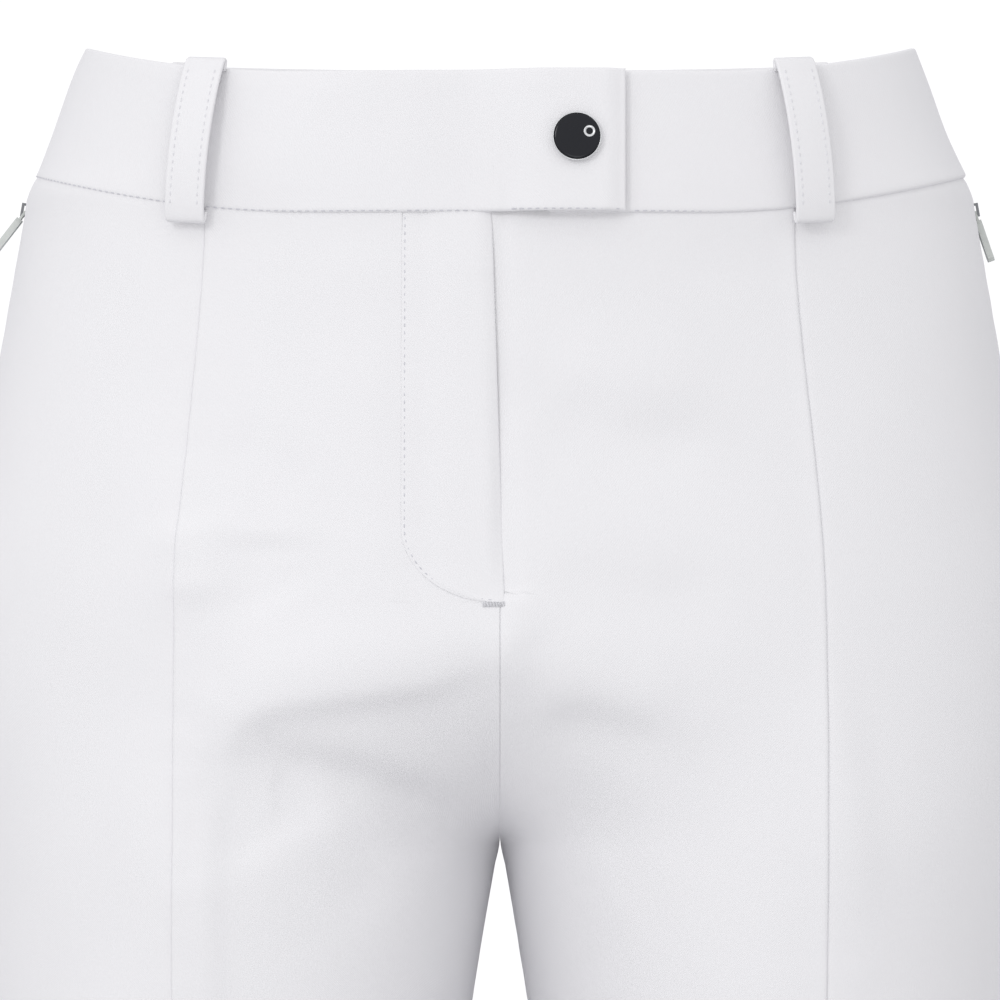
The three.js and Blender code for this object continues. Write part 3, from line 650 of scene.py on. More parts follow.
def woven(name, color, rough, pitch, strength, twill=True, sheen=0.2, tint=(0.9, 0.92, 1.0), spots=0.02,
          depth=0.12):
    """Cloth with a fine weave drawn in metres of the cloth itself, and a slow unevenness of tone."""
    mat, tree, shader = new_material(name, color, rough, Sheen_Weight=sheen, Sheen_Roughness=0.45)
    shader.inputs["Sheen Tint"].default_value = (*tint, 1)
    uv = node(tree, "ShaderNodeUVMap", uv_map="cloth").outputs["UV"]
    split = node(tree, "ShaderNodeSeparateXYZ", {"Vector": uv})
    u, v = split.outputs["X"], split.outputs["Y"]
    turn = 2 * math.pi / (pitch * MM)
    if twill:
        diagonal = math_node(tree, "ADD", math_node(tree, "MULTIPLY", u, turn),
                             math_node(tree, "MULTIPLY", v, turn))
        ribs = math_node(tree, "SINE", diagonal)
        cross = math_node(tree, "SINE", math_node(tree, "SUBTRACT", math_node(tree, "MULTIPLY", u, turn * 2),
                                                  math_node(tree, "MULTIPLY", v, turn * 2)))
        weave = math_node(tree, "ADD", ribs, math_node(tree, "MULTIPLY", cross, 0.45))
    else:
        warp = math_node(tree, "SINE", math_node(tree, "MULTIPLY", u, turn))
        weft = math_node(tree, "SINE", math_node(tree, "MULTIPLY", v, turn))
        weave = math_node(tree, "MULTIPLY", warp, weft)
    grain = node(tree, "ShaderNodeTexNoise", {"Vector": uv, "Scale": 900.0, "Detail": 2.0, "Roughness": 0.6})
    slubs = node(tree, "ShaderNodeMapping", {"Vector": uv, "Scale": (2600.0, 160.0, 1.0)})
    slub = node(tree, "ShaderNodeTexNoise", {"Vector": slubs.outputs["Vector"], "Scale": 1.0, "Detail": 2.0})
    fuzz = math_node(tree, "ADD", grain.outputs["Fac"], math_node(tree, "MULTIPLY", slub.outputs["Fac"], 0.8))
    height = math_node(tree, "ADD", math_node(tree, "MULTIPLY", weave, 0.35), fuzz)
    bump = node(tree, "ShaderNodeBump", {"Height": height, "Strength": strength, "Distance": depth * MM})
    tree.links.new(bump.outputs["Normal"], shader.inputs["Normal"])
    geometry = node(tree, "ShaderNodeNewGeometry").outputs["Position"]
    ramp = vary_color(tree, shader, color, geometry, 9.0, spots)
    fine = node(tree, "ShaderNodeMapRange", {
        "Value": math_node(tree, "ADD", weave, slub.outputs["Fac"]),
        "From Min": -1.2, "From Max": 1.8, "To Min": 1 - spots * 1.6, "To Max": 1.0})
    mix = node(tree, "ShaderNodeVectorMath", {0: ramp.outputs["Color"], 1: fine.outputs["Result"]},
               operation="MULTIPLY")
    tree.links.new(mix.outputs["Vector"], shader.inputs["Base Color"])
    uneven = node(tree, "ShaderNodeMapRange", {
        "Value": grain.outputs["Fac"], "To Min": rough - 0.06, "To Max": rough + 0.06})
    tree.links.new(uneven.outputs["Result"], shader.inputs["Roughness"])
    return mat


def solid(name, color, rough, metallic=0.0, scale=700.0, strength=0.15, spots=0.05, **sockets):
    """Moulded or metal finish with fine grain, soft wear marks and uneven gloss."""
    mat, tree, shader = new_material(name, color, rough, **sockets)
    shader.inputs["Metallic"].default_value = metallic
    position = node(tree, "ShaderNodeTexCoord").outputs["Object"]
    noise = node(tree, "ShaderNodeTexNoise", {
        "Vector": position, "Scale": scale, "Detail": 4.0, "Roughness": 0.65})
    wear = node(tree, "ShaderNodeTexNoise", {"Vector": position, "Scale": scale * 0.12, "Detail": 3.0})
    bump = node(tree, "ShaderNodeBump", {
        "Height": noise.outputs["Fac"], "Strength": strength, "Distance": 0.00005})
    tree.links.new(bump.outputs["Normal"], shader.inputs["Normal"])
    vary_color(tree, shader, color, position, scale * 0.2, spots)
    uneven = node(tree, "ShaderNodeMapRange", {"Value": wear.outputs["Fac"], "From Min": 0.3, "From Max": 0.7,
                                               "To Min": rough * 0.8, "To Max": min(1, rough * 1.3)})
    tree.links.new(uneven.outputs["Result"], shader.inputs["Roughness"])
    return mat


woven("shell", (0.815, 0.81, 0.826), 0.72, 0.9, 0.35, sheen=0.12)
woven("lining", (0.74, 0.755, 0.80), 0.6, 0.5, 0.3, twill=False, sheen=0.1)
woven("facing", (0.70, 0.715, 0.765), 0.8, 0.7, 0.5, sheen=0.3)
woven("tape", (0.76, 0.775, 0.815), 0.62, 1.1, 0.7)
woven("guard", (0.64, 0.66, 0.70), 0.66, 1.2, 0.8, twill=False)
woven("elastic", (0.68, 0.69, 0.73), 0.8, 1.6, 0.9, twill=False, sheen=0.3)
# darker thread: partly the thread's own grey, partly painted shade of the needle holes along its rows
solid("thread_and_hole_shade", (0.60, 0.60, 0.64), 0.55, scale=2600.0, strength=0.5)
solid("thread_pale", (0.74, 0.74, 0.765), 0.55, scale=2600.0, strength=0.5)
solid("coil", (0.78, 0.79, 0.81), 0.38, scale=1500.0)
solid("gloss", (0.010, 0.011, 0.015), 0.13, scale=260.0, strength=0.03, Specular_IOR_Level=0.25)
solid("metal", (0.72, 0.73, 0.74), 0.26, metallic=1.0, scale=900.0, strength=0.08)
solid("dark_metal", (0.2, 0.205, 0.215), 0.33, metallic=1.0, scale=900.0, strength=0.12)
solid("puller", (0.60, 0.625, 0.60), 0.5, scale=1200.0, strength=0.3)

# ---- legs ----
J_ROWS = tuple(np.arange(-158, -186.3, -1.1)) + (-185.2, -185.6, -185.9, -186.1, -186.3)
SLOT_ROWS = tuple(np.arange(-165, -176, -0.9))
LEG_SPACING = (-430, 6.5)


def centre_groove(d):
    return -0.25 * bell(d, 0.8)


def under_flap(angle, z, dl, dr, dt, db):
    """The left panel's edge lies a little deeper where the flap covers it."""
    covered = smooth((z - FLY_END_Z) / 5)
    x = skin(angle, z)[..., 0]
    past_flap = x + flap_edge_x(z)
    return covered * (-1.25 * smooth((0.2 - past_flap) / 2.4) - 0.9 * bell(past_flap - 2.6, 3.4))


for word, side in SIDES.items():
    inner_edge = inner_left_edge if side == LEFT else inner_right_edge
    under_fly = centre_groove if side == LEFT else nothing
    panel(f"front_inner_{word}", side, crease_in, inner_edge, tuck_top, HEM_Z, spacing=(3.0, 2.8),
          edges=(lap_over, under_fly, tucked, hem_fold), z_extra=J_ROWS, low_spacing=LEG_SPACING,
          puckers=(0.14, 0.0, 0.12, 0.12), reference=1.5, butt=(1,) if side == RIGHT else (),
          centre_from=FLY_END_Z, extra=under_flap if side == LEFT else None)
    panel(f"front_outer_{word}", side, slot_front, crease_out, tuck_top, HEM_Z, spacing=(3.2, 2.8),
          edges=(folded, lap_under, tucked, hem_fold), z_extra=SLOT_ROWS, low_spacing=LEG_SPACING,
          puckers=(0.1, 0.12, 0.1, 0.12), reference=0.3)
    panel(f"back_yoke_{word}", side, slot_back, centre_back, tuck_top, lambda a: yoke_seam(a),
          edges=(folded, sewn, tucked, lap_over), puckers=(0.1, 0.12, 0.1, 0.12), reference=-0.4)
    panel(f"back_leg_{word}", side, slot_back, centre_back, lambda a: yoke_seam(a) + 0.5, HEM_Z,
          spacing=(3.6, 3.4), edges=(folded, sewn, lap_under, hem_fold), z_extra=SLOT_ROWS,
          low_spacing=LEG_SPACING, puckers=(0.12, 0.14, 0.12, 0.12), reference=-0.4, centre_from=0)

# ---- waistband ----


def band_wave(angle, z, dl, dr, dt, db):
    x = skin(angle, z)[..., 0]
    inside = smooth(dt / 12) * smooth(db / 12) * smooth((np.abs(x) - 2) / 24)
    wave = 0.4 * np.sin(arc(angle, z) / 21 + 1.3) * inside
    return wave - band_taper(angle, z) - 0.25 * bell(dt - 1.2, 2.4)


def band_taper(angle, z):
    """The band's face comes closer to the shell cloth towards its lower edge at the sides."""
    beside = smooth((skin(angle, z)[..., 0] - 50) / 60)
    return 0.9 * (1 - smooth((z - band_bottom(angle)) / 22)) * beside


def band(name, side, left, right, **keys):
    settings = dict(edges=(sewn, sewn, nothing, nothing), base=BAND_PROUD, thick=BAND_THICK, spacing=(3.2, 3),
                    folds=False, extra=band_wave, puckers=(0, 0, 0.05, 0.1), round_r=1.3)
    settings.update(keys)
    panel(name, side, left, right, settings.pop("top", waist_top), band_bottom, **settings)


def back_top(a):
    """The back's top edge sags a little behind the front's."""
    return waist_top(a) - 1.5 * smooth((-a - 0.5) / 0.8)


for word, side in SIDES.items():
    band(f"waistband_back_{word}", side, side_back, centre_back, reference=-0.9, top=back_top)


def tab_rise(x):
    """From 0 where the band's right end leaves the body to 1 where the tab lies over the left band."""
    return smooth((x + 13) / 31)


def tab_back(x):
    return -CLOTH + (TAB_LIFT + CLOTH) * tab_rise(x) - 1.3 * smooth((x - 35.5) / 8)


def tab_depth(x):
    return TAB_THICK + (BAND_THICK - TAB_THICK) * (1 - tab_rise(x))


def underlap_lift(angle, z):
    """The left band dips behind the right one."""
    return BAND_PROUD - (BAND_THICK + GAP) * smooth((21 - skin(angle, z)[..., 0]) / 10)


def right_band_lift(angle, z):
    x = -skin(angle, z)[..., 0]
    return -CLOTH + (TAB_LIFT + CLOTH) * tab_rise(x) + tab_depth(x) - 0.12 * smooth((x - TAB_ROOT_X) / 1.0)


# one piece stands for the right band and its end
fold_end = x_seam(FLY_FOLD + GAP / 2)
band("waistband_front_right", RIGHT, side_front, x_seam(-TAB_ROOT_X - 1.2), base=right_band_lift, butt=(1,),
     thick=lambda angle, z: tab_depth(-skin(angle, z)[..., 0]), edges=(sewn, nothing, nothing, nothing))

band("waistband_front_left", LEFT, side_front, x_seam(-30), base=underlap_lift,
     edges=(sewn, nothing, nothing, nothing), extra=None, puckers=(0, 0, 0, 0))


def make_tab():
    """The tab rises over the underlap, and its end is a rounded fold."""
    xs = np.unique(np.concatenate([np.linspace(TAB_ROOT_X - 1, 38, 40), TAB_END_X - np.array(
        [4.6, 3.6, 2.6, 1.8, 1.2, 0.7, 0.35, 0.1, 0])]))
    rows = np.concatenate([[0, 0.5, 1.2, 2.2, 3.6], np.linspace(5.5, 44.5, 20), [46.4, 47.8, 48.8, 49.5, 50]])
    v = rows[:, None] / 50
    z = waist_top(1.7) - 50 * v + 0 * xs[None, :]
    for _ in range(4):
        angle = at_x(z, xs[None, :] + 0 * z, 1)
        z = waist_top(angle) + (band_bottom(angle) - waist_top(angle)) * v
    x = xs[None, :] + 0 * z
    down, low = waist_top(angle) - z, z - band_bottom(angle)
    to_end = TAB_END_X - x
    depth = tab_depth(x)
    left_over = np.minimum(np.minimum(thinning(to_end, 1.3), thinning(down, 1.3)), thinning(low, 1.3))
    loss = depth * (1 - left_over) / 2
    hump = -0.25 * bell(down - 1.2, 2.4) - 0.3 * bell(x - 14, 9) * smooth(down / 12) * smooth(low / 12)
    dent = -0.7 * bell(x - 4, 4.5) * smooth((x - TAB_ROOT_X) / 4) * smooth((down - 18) / 26)
    press = -0.35 * bell(np.hypot(x - SNAP_X, z - SNAP_Z) - 9.2, 2.2)
    edge = 0.2 * bell(to_end - 6, 4) - 0.2 * bell(to_end - 1.6, 1.2)
    under_band_end = -0.12 * smooth((TAB_ROOT_X - x) / 0.9)
    outer_lift = tab_back(x) + depth + hump + dent + press + edge + under_band_end
    p, n = skin(angle, z), outward(angle, z)
    outer = p + n * (outer_lift - loss)[..., None]
    inner = p + n * (tab_back(x) + loss + 0.05)[..., None]
    points, faces = close_grid(outer, inner, LEFT)
    uv = np.stack([x, z], -1).reshape(-1, 2)
    rim = len(faces) - 2 * (outer.shape[0] - 1) * (outer.shape[1] - 1)
    make_object("waistband_tab", points, faces, "shell", np.concatenate([uv, uv + [300, 0]]), rim)


make_tab()

facing = dict(base=-CLOTH - 2 * GAP, thick=0.8, folds=False, material="facing", spacing=(4, 4), round_r=0.4,
              edges=PLAIN)
inset_top = lambda a: waist_top(a) - 3
inset_low = lambda a: band_bottom(a) + 3
panel("waistband_facing_front_left", LEFT, side_front, x_seam(20), inset_top, inset_low, **facing)
panel("waistband_facing_front_right", RIGHT, side_front, fold_end, inset_top, inset_low, **facing)
for word, side in SIDES.items():
    panel(f"waistband_facing_back_{word}", side, side_back, centre_back, inset_top, inset_low,
          reference=-0.9, **facing)

# ---- fly ----


def flap_lift(angle, z):
    risen = 0.12 + 0.88 * smooth((z - FLY_END_Z - 2) / 46)
    return 0.1 + 1.45 * smooth((FLY_FOLD - 2 - skin(angle, z)[..., 0]) / 18) * risen


def flap_shape(angle, z, dl, dr, dt, db):
    soft_edge = -0.95 * bell(dr, 2.8) * smooth((z - FLY_END_Z) / 30)
    return (0.3 * bell(dl - 3.4, 2.6) + soft_edge + 0.25 * np.sin(z / 17 + 0.8) * smooth(dl / 10)
            - 0.3 * bell(dt - TUCK, 0.9))


panel("fly_flap", RIGHT, flap_root, flap_free, tuck_top, lambda a: -186.0 + 0 * a, base=flap_lift,
      edges=PLAIN, extra=flap_shape, spacing=(1.8, 2.2), puckers=(0.1, 0, 0.1, 0),
      z_extra=J_ROWS, reference=1.6, butt=(0,), round_r=1.1)
panel("fly_shield", RIGHT, x_seam(32), x_seam(-14), -52, -190, base=-7.4, material="lining", folds=False,
      edges=PLAIN, thick=1.0, spacing=(4, 4), reference=1.6)

# ---- inside ----


def bag_lift(angle, z):
    s = arc(angle, z)
    across = smooth((s + 16) / 9) * smooth((104 - s) / 30)
    down = smooth((band_bottom(angle) - 1.5 - z) / 5.4) * smooth((z + 214) / 34)
    return -2.4 - 4.6 * across * down


def gaiter_lift(z):
    return -3.4 - 12 * smooth((-905 - z) / 110)


def leg_tube(name, side, rows, lift, thick, material, gathers=0.0):
    angles = np.linspace(-math.pi, math.pi, 121)[:-1]
    a, z = np.meshgrid(angles, rows)
    off = lift(z) + gathers * np.sin(a * 38 + 0.7 * side) * smooth((-960 - z) / 60) - gathers
    p, n = skin(a, z), outward(a, z)
    outer, inner = p + n * off[..., None], p + n * (off - thick)[..., None]
    points, faces = close_grid(mirror(outer, side), mirror(inner, side), side, wrap=True)
    uv = np.stack([a * 75, z], -1).reshape(-1, 2)
    return make_object(name, points, faces, material, np.concatenate([uv, uv + [900, 0]]))


for word, side in SIDES.items():
    panel(f"pocket_bag_{word}", side, seam(lambda z: at_arc(z, -16)), seam(lambda z: at_arc(z, 104)),
          lambda a: band_bottom(a) - 1.5, -214, base=bag_lift, thick=0.6, material="lining", folds=False,
          edges=PLAIN, spacing=(4, 4), reference=0.4, round_r=0.3)
    leg_tube(f"snow_gaiter_{word}", side, np.linspace(-895, -1030, 34), gaiter_lift, 0.5, "lining", 0.9)
    leg_tube(f"gaiter_elastic_{word}", side, np.linspace(-1008, -1029, 9),
             lambda z: gaiter_lift(-1030) - 2.4 + 0 * z, 1.2, "elastic", 0.3)
    panel(f"scuff_guard_{word}", side, seam(lambda z: math.pi * 0.64 + 0 * z),
          seam(lambda z: math.pi * 1.36 + 0 * z), -958, HEM_Z + 1.5, base=1.7, thick=1.1, material="guard",
          folds=False, edges=PLAIN, spacing=(4, 3), reference=2.4)

# ---- belt loops ----


def local_frame(angle, z, lift, centre=False, lean=0.0):
    p, n = skin(angle, z), outward(angle, z)
    up = skin(angle, z + 20) - skin(angle, z - 20)
    if centre:
        n[0] = up[0] = p[0] = 0
    n = n / np.linalg.norm(n)
    up = up - n * up.dot(n)
    up /= np.linalg.norm(up)
    up = up + np.cross(n, up) * lean
    up /= np.linalg.norm(up)
    return p + n * lift, n, up, np.cross(n, up)


def loop_path(share, drop):
    """Middle line of a belt loop's strip, as (height off the band, place along it)."""
    b = np.concatenate([np.linspace(24.6, 20, 7), np.linspace(18, -22, 30), np.linspace(-23.5, -28.4, 8)])
    n = 2.2 + 5.4 * np.sin(np.pi * np.clip((b + 29.5) / 55.5, 0, 1)) ** 0.6
    top = [(1.6, 21.8), (1.55, 23.6), (1.7, 25.0), (2.3, 25.3)]
    low = [(2.6, -29.0), (2.0, -29.1), (1.6, -28.4), (1.55, -27), (1.6, -25.8)]
    return np.array(top + list(zip(n, b)) + low) * [1, share] - [0, drop]


def rounded_section(wide, thick, r, steps=4):
    corners = []
    for cx, cy, start in ((wide - r, thick - r, 0), (-wide + r, thick - r, 90), (-wide + r, -thick + r, 180),
                          (wide - r, -thick + r, 270)):
        for k in range(steps + 1):
            t = math.radians(start + 90 * k / steps)
            corners.append((cx + r * math.cos(t), cy + r * math.sin(t)))
    return np.array(corners)


def sweep(path, normals, across, section):
    """Closed tube of a flat section (across, thickness) along a path."""
    rings = path[:, None] + section[None, :, :1] * across[:, None] + section[None, :, 1:] * normals[:, None]
    count, per = rings.shape[:2]
    faces = grid_faces(count, per, 0, False, True)
    points = rings.reshape(-1, 3)
    ends = np.array([path[0], path[-1]])
    points = np.vstack([points, ends])
    k = np.arange(per)
    first = np.stack([k, (k + 1) % per, np.full(per, len(points) - 2), np.full(per, len(points) - 2)], -1)
    last = np.stack([(count - 1) * per + (k + 1) % per, (count - 1) * per + k, np.full(per, len(points) - 1),
                     np.full(per, len(points) - 1)], -1)
    return points, faces, np.vstack([first, last])[:, :3]


def fix_normals(mesh, merge=False):
    """Turns every face outward; merge first joins the points that meet at a lathe's axis."""
    bm = bmesh.new()
    bm.from_mesh(mesh)
    if merge:
        bmesh.ops.remove_doubles(bm, verts=bm.verts, dist=1e-6)
        bmesh.ops.dissolve_degenerate(bm, edges=bm.edges, dist=1e-7)
    bmesh.ops.recalc_face_normals(bm, faces=bm.faces)
    bm.to_mesh(mesh)
    bm.free()


def mesh_from(name, points, quads, tris, material, uvs=None):
    mesh = bpy.data.meshes.new(name)
    faces = [tuple(q) for q in quads] + [tuple(t) for t in tris]
    mesh.from_pydata([tuple(p * MM) for p in points], [], faces)
    if uvs is not None:
        layer = mesh.uv_layers.new(name="cloth")
        index = np.array([loop.vertex_index for loop in mesh.loops])
        layer.data.foreach_set("uv", (np.asarray(uvs)[index] * MM).ravel())
    mesh.validate()
    mesh.update()
    fix_normals(mesh)
    mesh.polygons.foreach_set("use_smooth", np.full(len(mesh.polygons), True))
    obj = bpy.data.objects.new(piece_name(name), mesh)
    obj.data.materials.append(MATERIALS[material])
    bpy.context.collection.objects.link(obj)
    OBJECTS[name], MADE_OF[name] = obj, material
    return obj


LOOP_STITCHES = []
LOOP_HALF_WIDE = 7.5


def belt_loop(name, side, angle, centre=False, lean=0.0, share=0.93, drop=0.8):
    z = (waist_top(angle) + band_bottom(angle)) / 2
    origin, normal, up, across = local_frame(np.array(angle, float), z, BAND_PROUD, centre, lean)
    flat = loop_path(share, drop)
    path = origin + flat[:, :1] * normal + flat[:, 1:] * up
    tangent = np.gradient(flat, axis=0)
    tangent /= np.linalg.norm(tangent, axis=1, keepdims=True)
    out2 = np.stack([tangent[:, 1], -tangent[:, 0]], 1) * -1
    out = out2[:, :1] * normal + out2[:, 1:] * up
    crown = rounded_section(LOOP_HALF_WIDE, 0.8, 0.72)
    wide = np.repeat(across[None], len(path), 0)
    points, quads, tris = sweep(path, out, wide, crown)
    rows = np.repeat(np.arange(len(path)) * 1.6, len(crown))
    uv = np.stack([np.tile(crown[:, 0], len(path)), rows], -1)
    uv = np.vstack([uv, [[0, 0], [0, 90]]])
    mesh_from(name, mirror(points, side), quads, tris, "shell", uv)
    for offset in (-5.2, 5.2):
        line = path[8:-8] + across * offset + out[8:-8] * 0.78
        LOOP_STITCHES.append((mirror(line, side), mirror(out[8:-8], side)))


front_loop = float(at_x(np.array(-25.0), 105, 1))
side_loop = float(at_x(np.array(-15.0), 118, -1))
for word, side in SIDES.items():
    belt_loop(f"belt_loop_front_{word}", side, front_loop, lean=0.048, share=1.07, drop=0)
    belt_loop(f"belt_loop_side_{word}", side, side_loop)
belt_loop("belt_loop_back", LEFT, float(at_x(np.array(-12.0), 0, -1)), True, drop=2.4)

# ---- snap fastener ----
SNAP_ANGLE = float(at_x(np.array(SNAP_Z), SNAP_X, 1))


def snap_axes(lift):
    normal = outward(SNAP_ANGLE, SNAP_Z)
    side_way = np.array([1.0, 0, 0]) - normal * normal[0]
    side_way /= np.linalg.norm(side_way)
    return skin(SNAP_ANGLE, SNAP_Z) + normal * lift, side_way, normal, np.cross(side_way, normal)


def lathe(name, profile, lift, material, segments=96, shift=(0, 0)):
    origin, x_way, y_way, z_way = snap_axes(lift)
    origin = origin + shift[0] * x_way + shift[1] * z_way
    turn = np.linspace(0, 2 * math.pi, segments + 1)[:-1]
    profile = np.array(profile, float)
    closed = profile[0][0] > 0
    around = np.cos(turn)[None, :, None] * x_way + np.sin(turn)[None, :, None] * z_way
    rings = origin + profile[:, None, :1] * around + profile[:, None, 1:] * y_way
    faces = grid_faces(len(profile), segments, 0, False, True)
    points = rings.reshape(-1, 3)
    if closed:
        last = (len(profile) - 1) * segments
        k = np.arange(segments)
        faces = np.vstack([faces, np.stack([last + k, k, (k + 1) % segments, last + (k + 1) % segments], -1)])
    fix_normals(mesh_from(name, points, faces, [], material).data, merge=True)


def rounded(profile, r=0.12, steps=3):
    """Profile with each inner corner cut to a small curve."""
    pts = [np.array(p, float) for p in profile]
    out = [pts[0]]
    for before, here, after in zip(pts[:-2], pts[1:-1], pts[2:]):
        a, b = before - here, after - here
        la, lb = np.linalg.norm(a), np.linalg.norm(b)
        cut = min(r, la / 2.2, lb / 2.2)
        start, stop = here + a / la * cut, here + b / lb * cut
        for k in range(steps + 1):
            t = k / steps
            out.append((1 - t) ** 2 * start + 2 * t * (1 - t) * here + t * t * stop)
    return out + [pts[-1]]


FACE = TAB_LIFT + TAB_THICK + GAP
cap = [(0, 0), (7.6, 0), (8.6, 0.7), (8.6, 1.5), (8.4, 1.85), (8.15, 1.8), (8.1, 1.3), (0, 1.3)]
lathe("snap_cap", rounded(cap, 0.3), FACE, "metal")
insert = [(0, 1.6), (7.8, 1.6), (8.0, 1.75), (7.95, 2.0), (7.4, 2.25), (4, 2.45), (0, 2.5)]
lathe("snap_cap_insert", rounded(insert, 0.3), FACE, "gloss")
ring_section = rounded([(1.2, 2.2), (2, 2.2), (2, 2.72), (1.2, 2.72)], 0.1)
lathe("snap_cap_ring", ring_section, FACE, "metal", 48, (4.3, -1.6))
socket = [(2.7, 0), (5.4, 0), (5.4, 1.0), (4.6, 1.0), (4.2, 0.75), (3.4, 0.75), (3.1, 1.0), (2.7, 1.0)]
lathe("snap_socket", rounded(socket, 0.15), 2.9, "dark_metal", 64)
stud = [(0, 0), (5.2, 0), (5.2, 0.4), (2.1, 0.4), (2.1, 0.9), (2.3, 1.3), (1.9, 1.7), (0, 1.8)]
lathe("snap_stud", rounded(stud, 0.15), BAND_PROUD + GAP, "dark_metal", 64)
backing = [(0, 0), (4.6, 0), (5.2, 0.3), (5.2, 0.7), (0, 0.7)]
lathe("snap_backing", rounded(backing, 0.2), -CLOTH - GAP - 0.95, "dark_metal", 64)

# ---- zips ----


def zip_axes(top, bottom, z, x=None):
    if x is None:
        a, b = skin(0.0, top), skin(0.0, bottom)
        across = np.array([0.0, -1, 0])
    else:
        a, b = [skin(float(at_x(np.array(float(h)), 0, 1)), h) for h in (top, bottom)]
        across = np.array([-1.0, 0, 0])
    up = a - b
    up /= np.linalg.norm(up)
    origin = a + (b - a) * (top - z) / (top - bottom)
    if x is not None:
        origin[0] = x
    normal = np.cross(up, across)
    return origin, across, normal / np.linalg.norm(normal), up


def zip_half(name, side, sign, axes, tape, bead, length):
    """Woven tape with the coil of one side of a zip, its turns a little apart."""
    origin, across, normal, up = axes
    to_world = lambda q: origin + q[..., :1] * across + q[..., 1:2] * normal + q[..., 2:] * up
    section = rounded_section(5.45, 0.3, 0.2, 2) * [1, 1] + [6.05, 0]
    middle = (tape[0] + tape[1]) / 2
    heights = np.linspace(0, -length, 60)
    wave = 0.12 * np.sin(np.arange(60) * 1.7)[:, None]
    rings = np.stack([sign * section[None, :, 0] + 0 * wave, middle + section[None, :, 1] + 0.4 * wave * (
        section[None, :, 0] > 8), heights[:, None] + 0 * section[None, :, 0]], -1)
    per = len(section)
    quads = [grid_faces(60, per, 0, False, True)]
    k = np.arange(1, per - 1)
    tris = [np.stack([0 * k, k, k + 1], -1), np.stack([0 * k, k + 1, k], -1) + 59 * per]
    points = [rings.reshape(-1, 3)]
    count = 60 * per
    pitch, thick = 1.25, 0.34
    low, high = min(bead) + thick, max(bead) - thick
    turns = int(length / pitch)
    t = np.linspace(0, 2 * math.pi, 13)[:-1]
    ring = np.array([(math.cos(w), math.sin(w)) for w in np.linspace(0, 2 * math.pi, 7)[:-1]])
    bulge = (low + high) / 2 + (high - low) / 2 * np.sin(t)
    loop = np.stack([1.62 - 0.9 * np.cos(t), bulge, 0.28 * np.cos(t)], -1)
    tangent = np.roll(loop, -1, 0) - np.roll(loop, 1, 0)
    tangent /= np.linalg.norm(tangent, axis=1, keepdims=True)
    side_way = np.cross(tangent, [0, 0, 1.0])
    side_way /= np.linalg.norm(side_way, axis=1, keepdims=True)
    other = np.cross(tangent, side_way)
    around = ring[None, :, :1] * side_way[:, None] + ring[None, :, 1:] * other[:, None]
    tube = loop[:, None] + around * thick
    tube = tube.reshape(-1, 3)
    base = grid_faces(13, 6, 0, False, True) % 72
    for n in range(turns):
        shifted = tube * [sign, 1, 1] + [0, 0, -pitch * (n + 0.5)]
        points.append(shifted)
        quads.append(base + count)
        count += 72
    points = to_world(np.vstack(points))
    uv = np.concatenate([np.stack([rings[..., 0], rings[..., 2]], -1).reshape(-1, 2),
                         np.zeros((count - 60 * per, 2))])
    obj = mesh_from(name, mirror(points, side), np.vstack(quads), np.vstack(tris), "tape", uv)
    obj.data.materials.append(MATERIALS["coil"])
    marks = np.zeros(len(obj.data.polygons), np.int32)
    first = len(quads[0])
    marks[first:first + (len(quads) - 1) * 72] = 1
    obj.data.polygons.foreach_set("material_index", marks)


FLY_TOP, FLY_LOW = -54, -177
for word, sign in (("left", -1), ("right", 1)):
    zip_half(f"fly_zip_half_{word}", LEFT, sign, zip_axes(FLY_TOP, FLY_LOW, FLY_TOP, FLY_ZIP_X),
             (-5.3, -4.7), (-4.7, -3.4), FLY_TOP - FLY_LOW)
pocket_axes = zip_axes(POCKET_TOP_Z - 8, POCKET_END_Z + 6, POCKET_TOP_Z)
for word, side in SIDES.items():
    for place, sign in (("front", 1), ("back", -1)):
        zip_half(f"pocket_zip_half_{place}_{word}", side, sign, pocket_axes, (-2.8, -2.2), (-4.1, -2.8),
                 POCKET_TOP_Z - POCKET_END_Z)

# ---- stitches ----


def seam_line(side, angles, heights, lift, every=1.0):
    """Points and normals of a stitch line on the cloth, at even steps."""
    p = skin(angles, heights) + outward(angles, heights) * np.asarray(lift)[..., None]
    n = outward(angles, heights)
    step = np.concatenate([[0], np.cumsum(np.linalg.norm(np.diff(p, axis=0), axis=1))])
    at = np.arange(0, step[-1], every)
    line = np.stack([np.interp(at, step, p[:, k]) for k in range(3)], -1)
    normal = np.stack([np.interp(at, step, n[:, k]) for k in range(3)], -1)
    return mirror(line, side), mirror(normal / np.linalg.norm(normal, axis=1, keepdims=True), side)


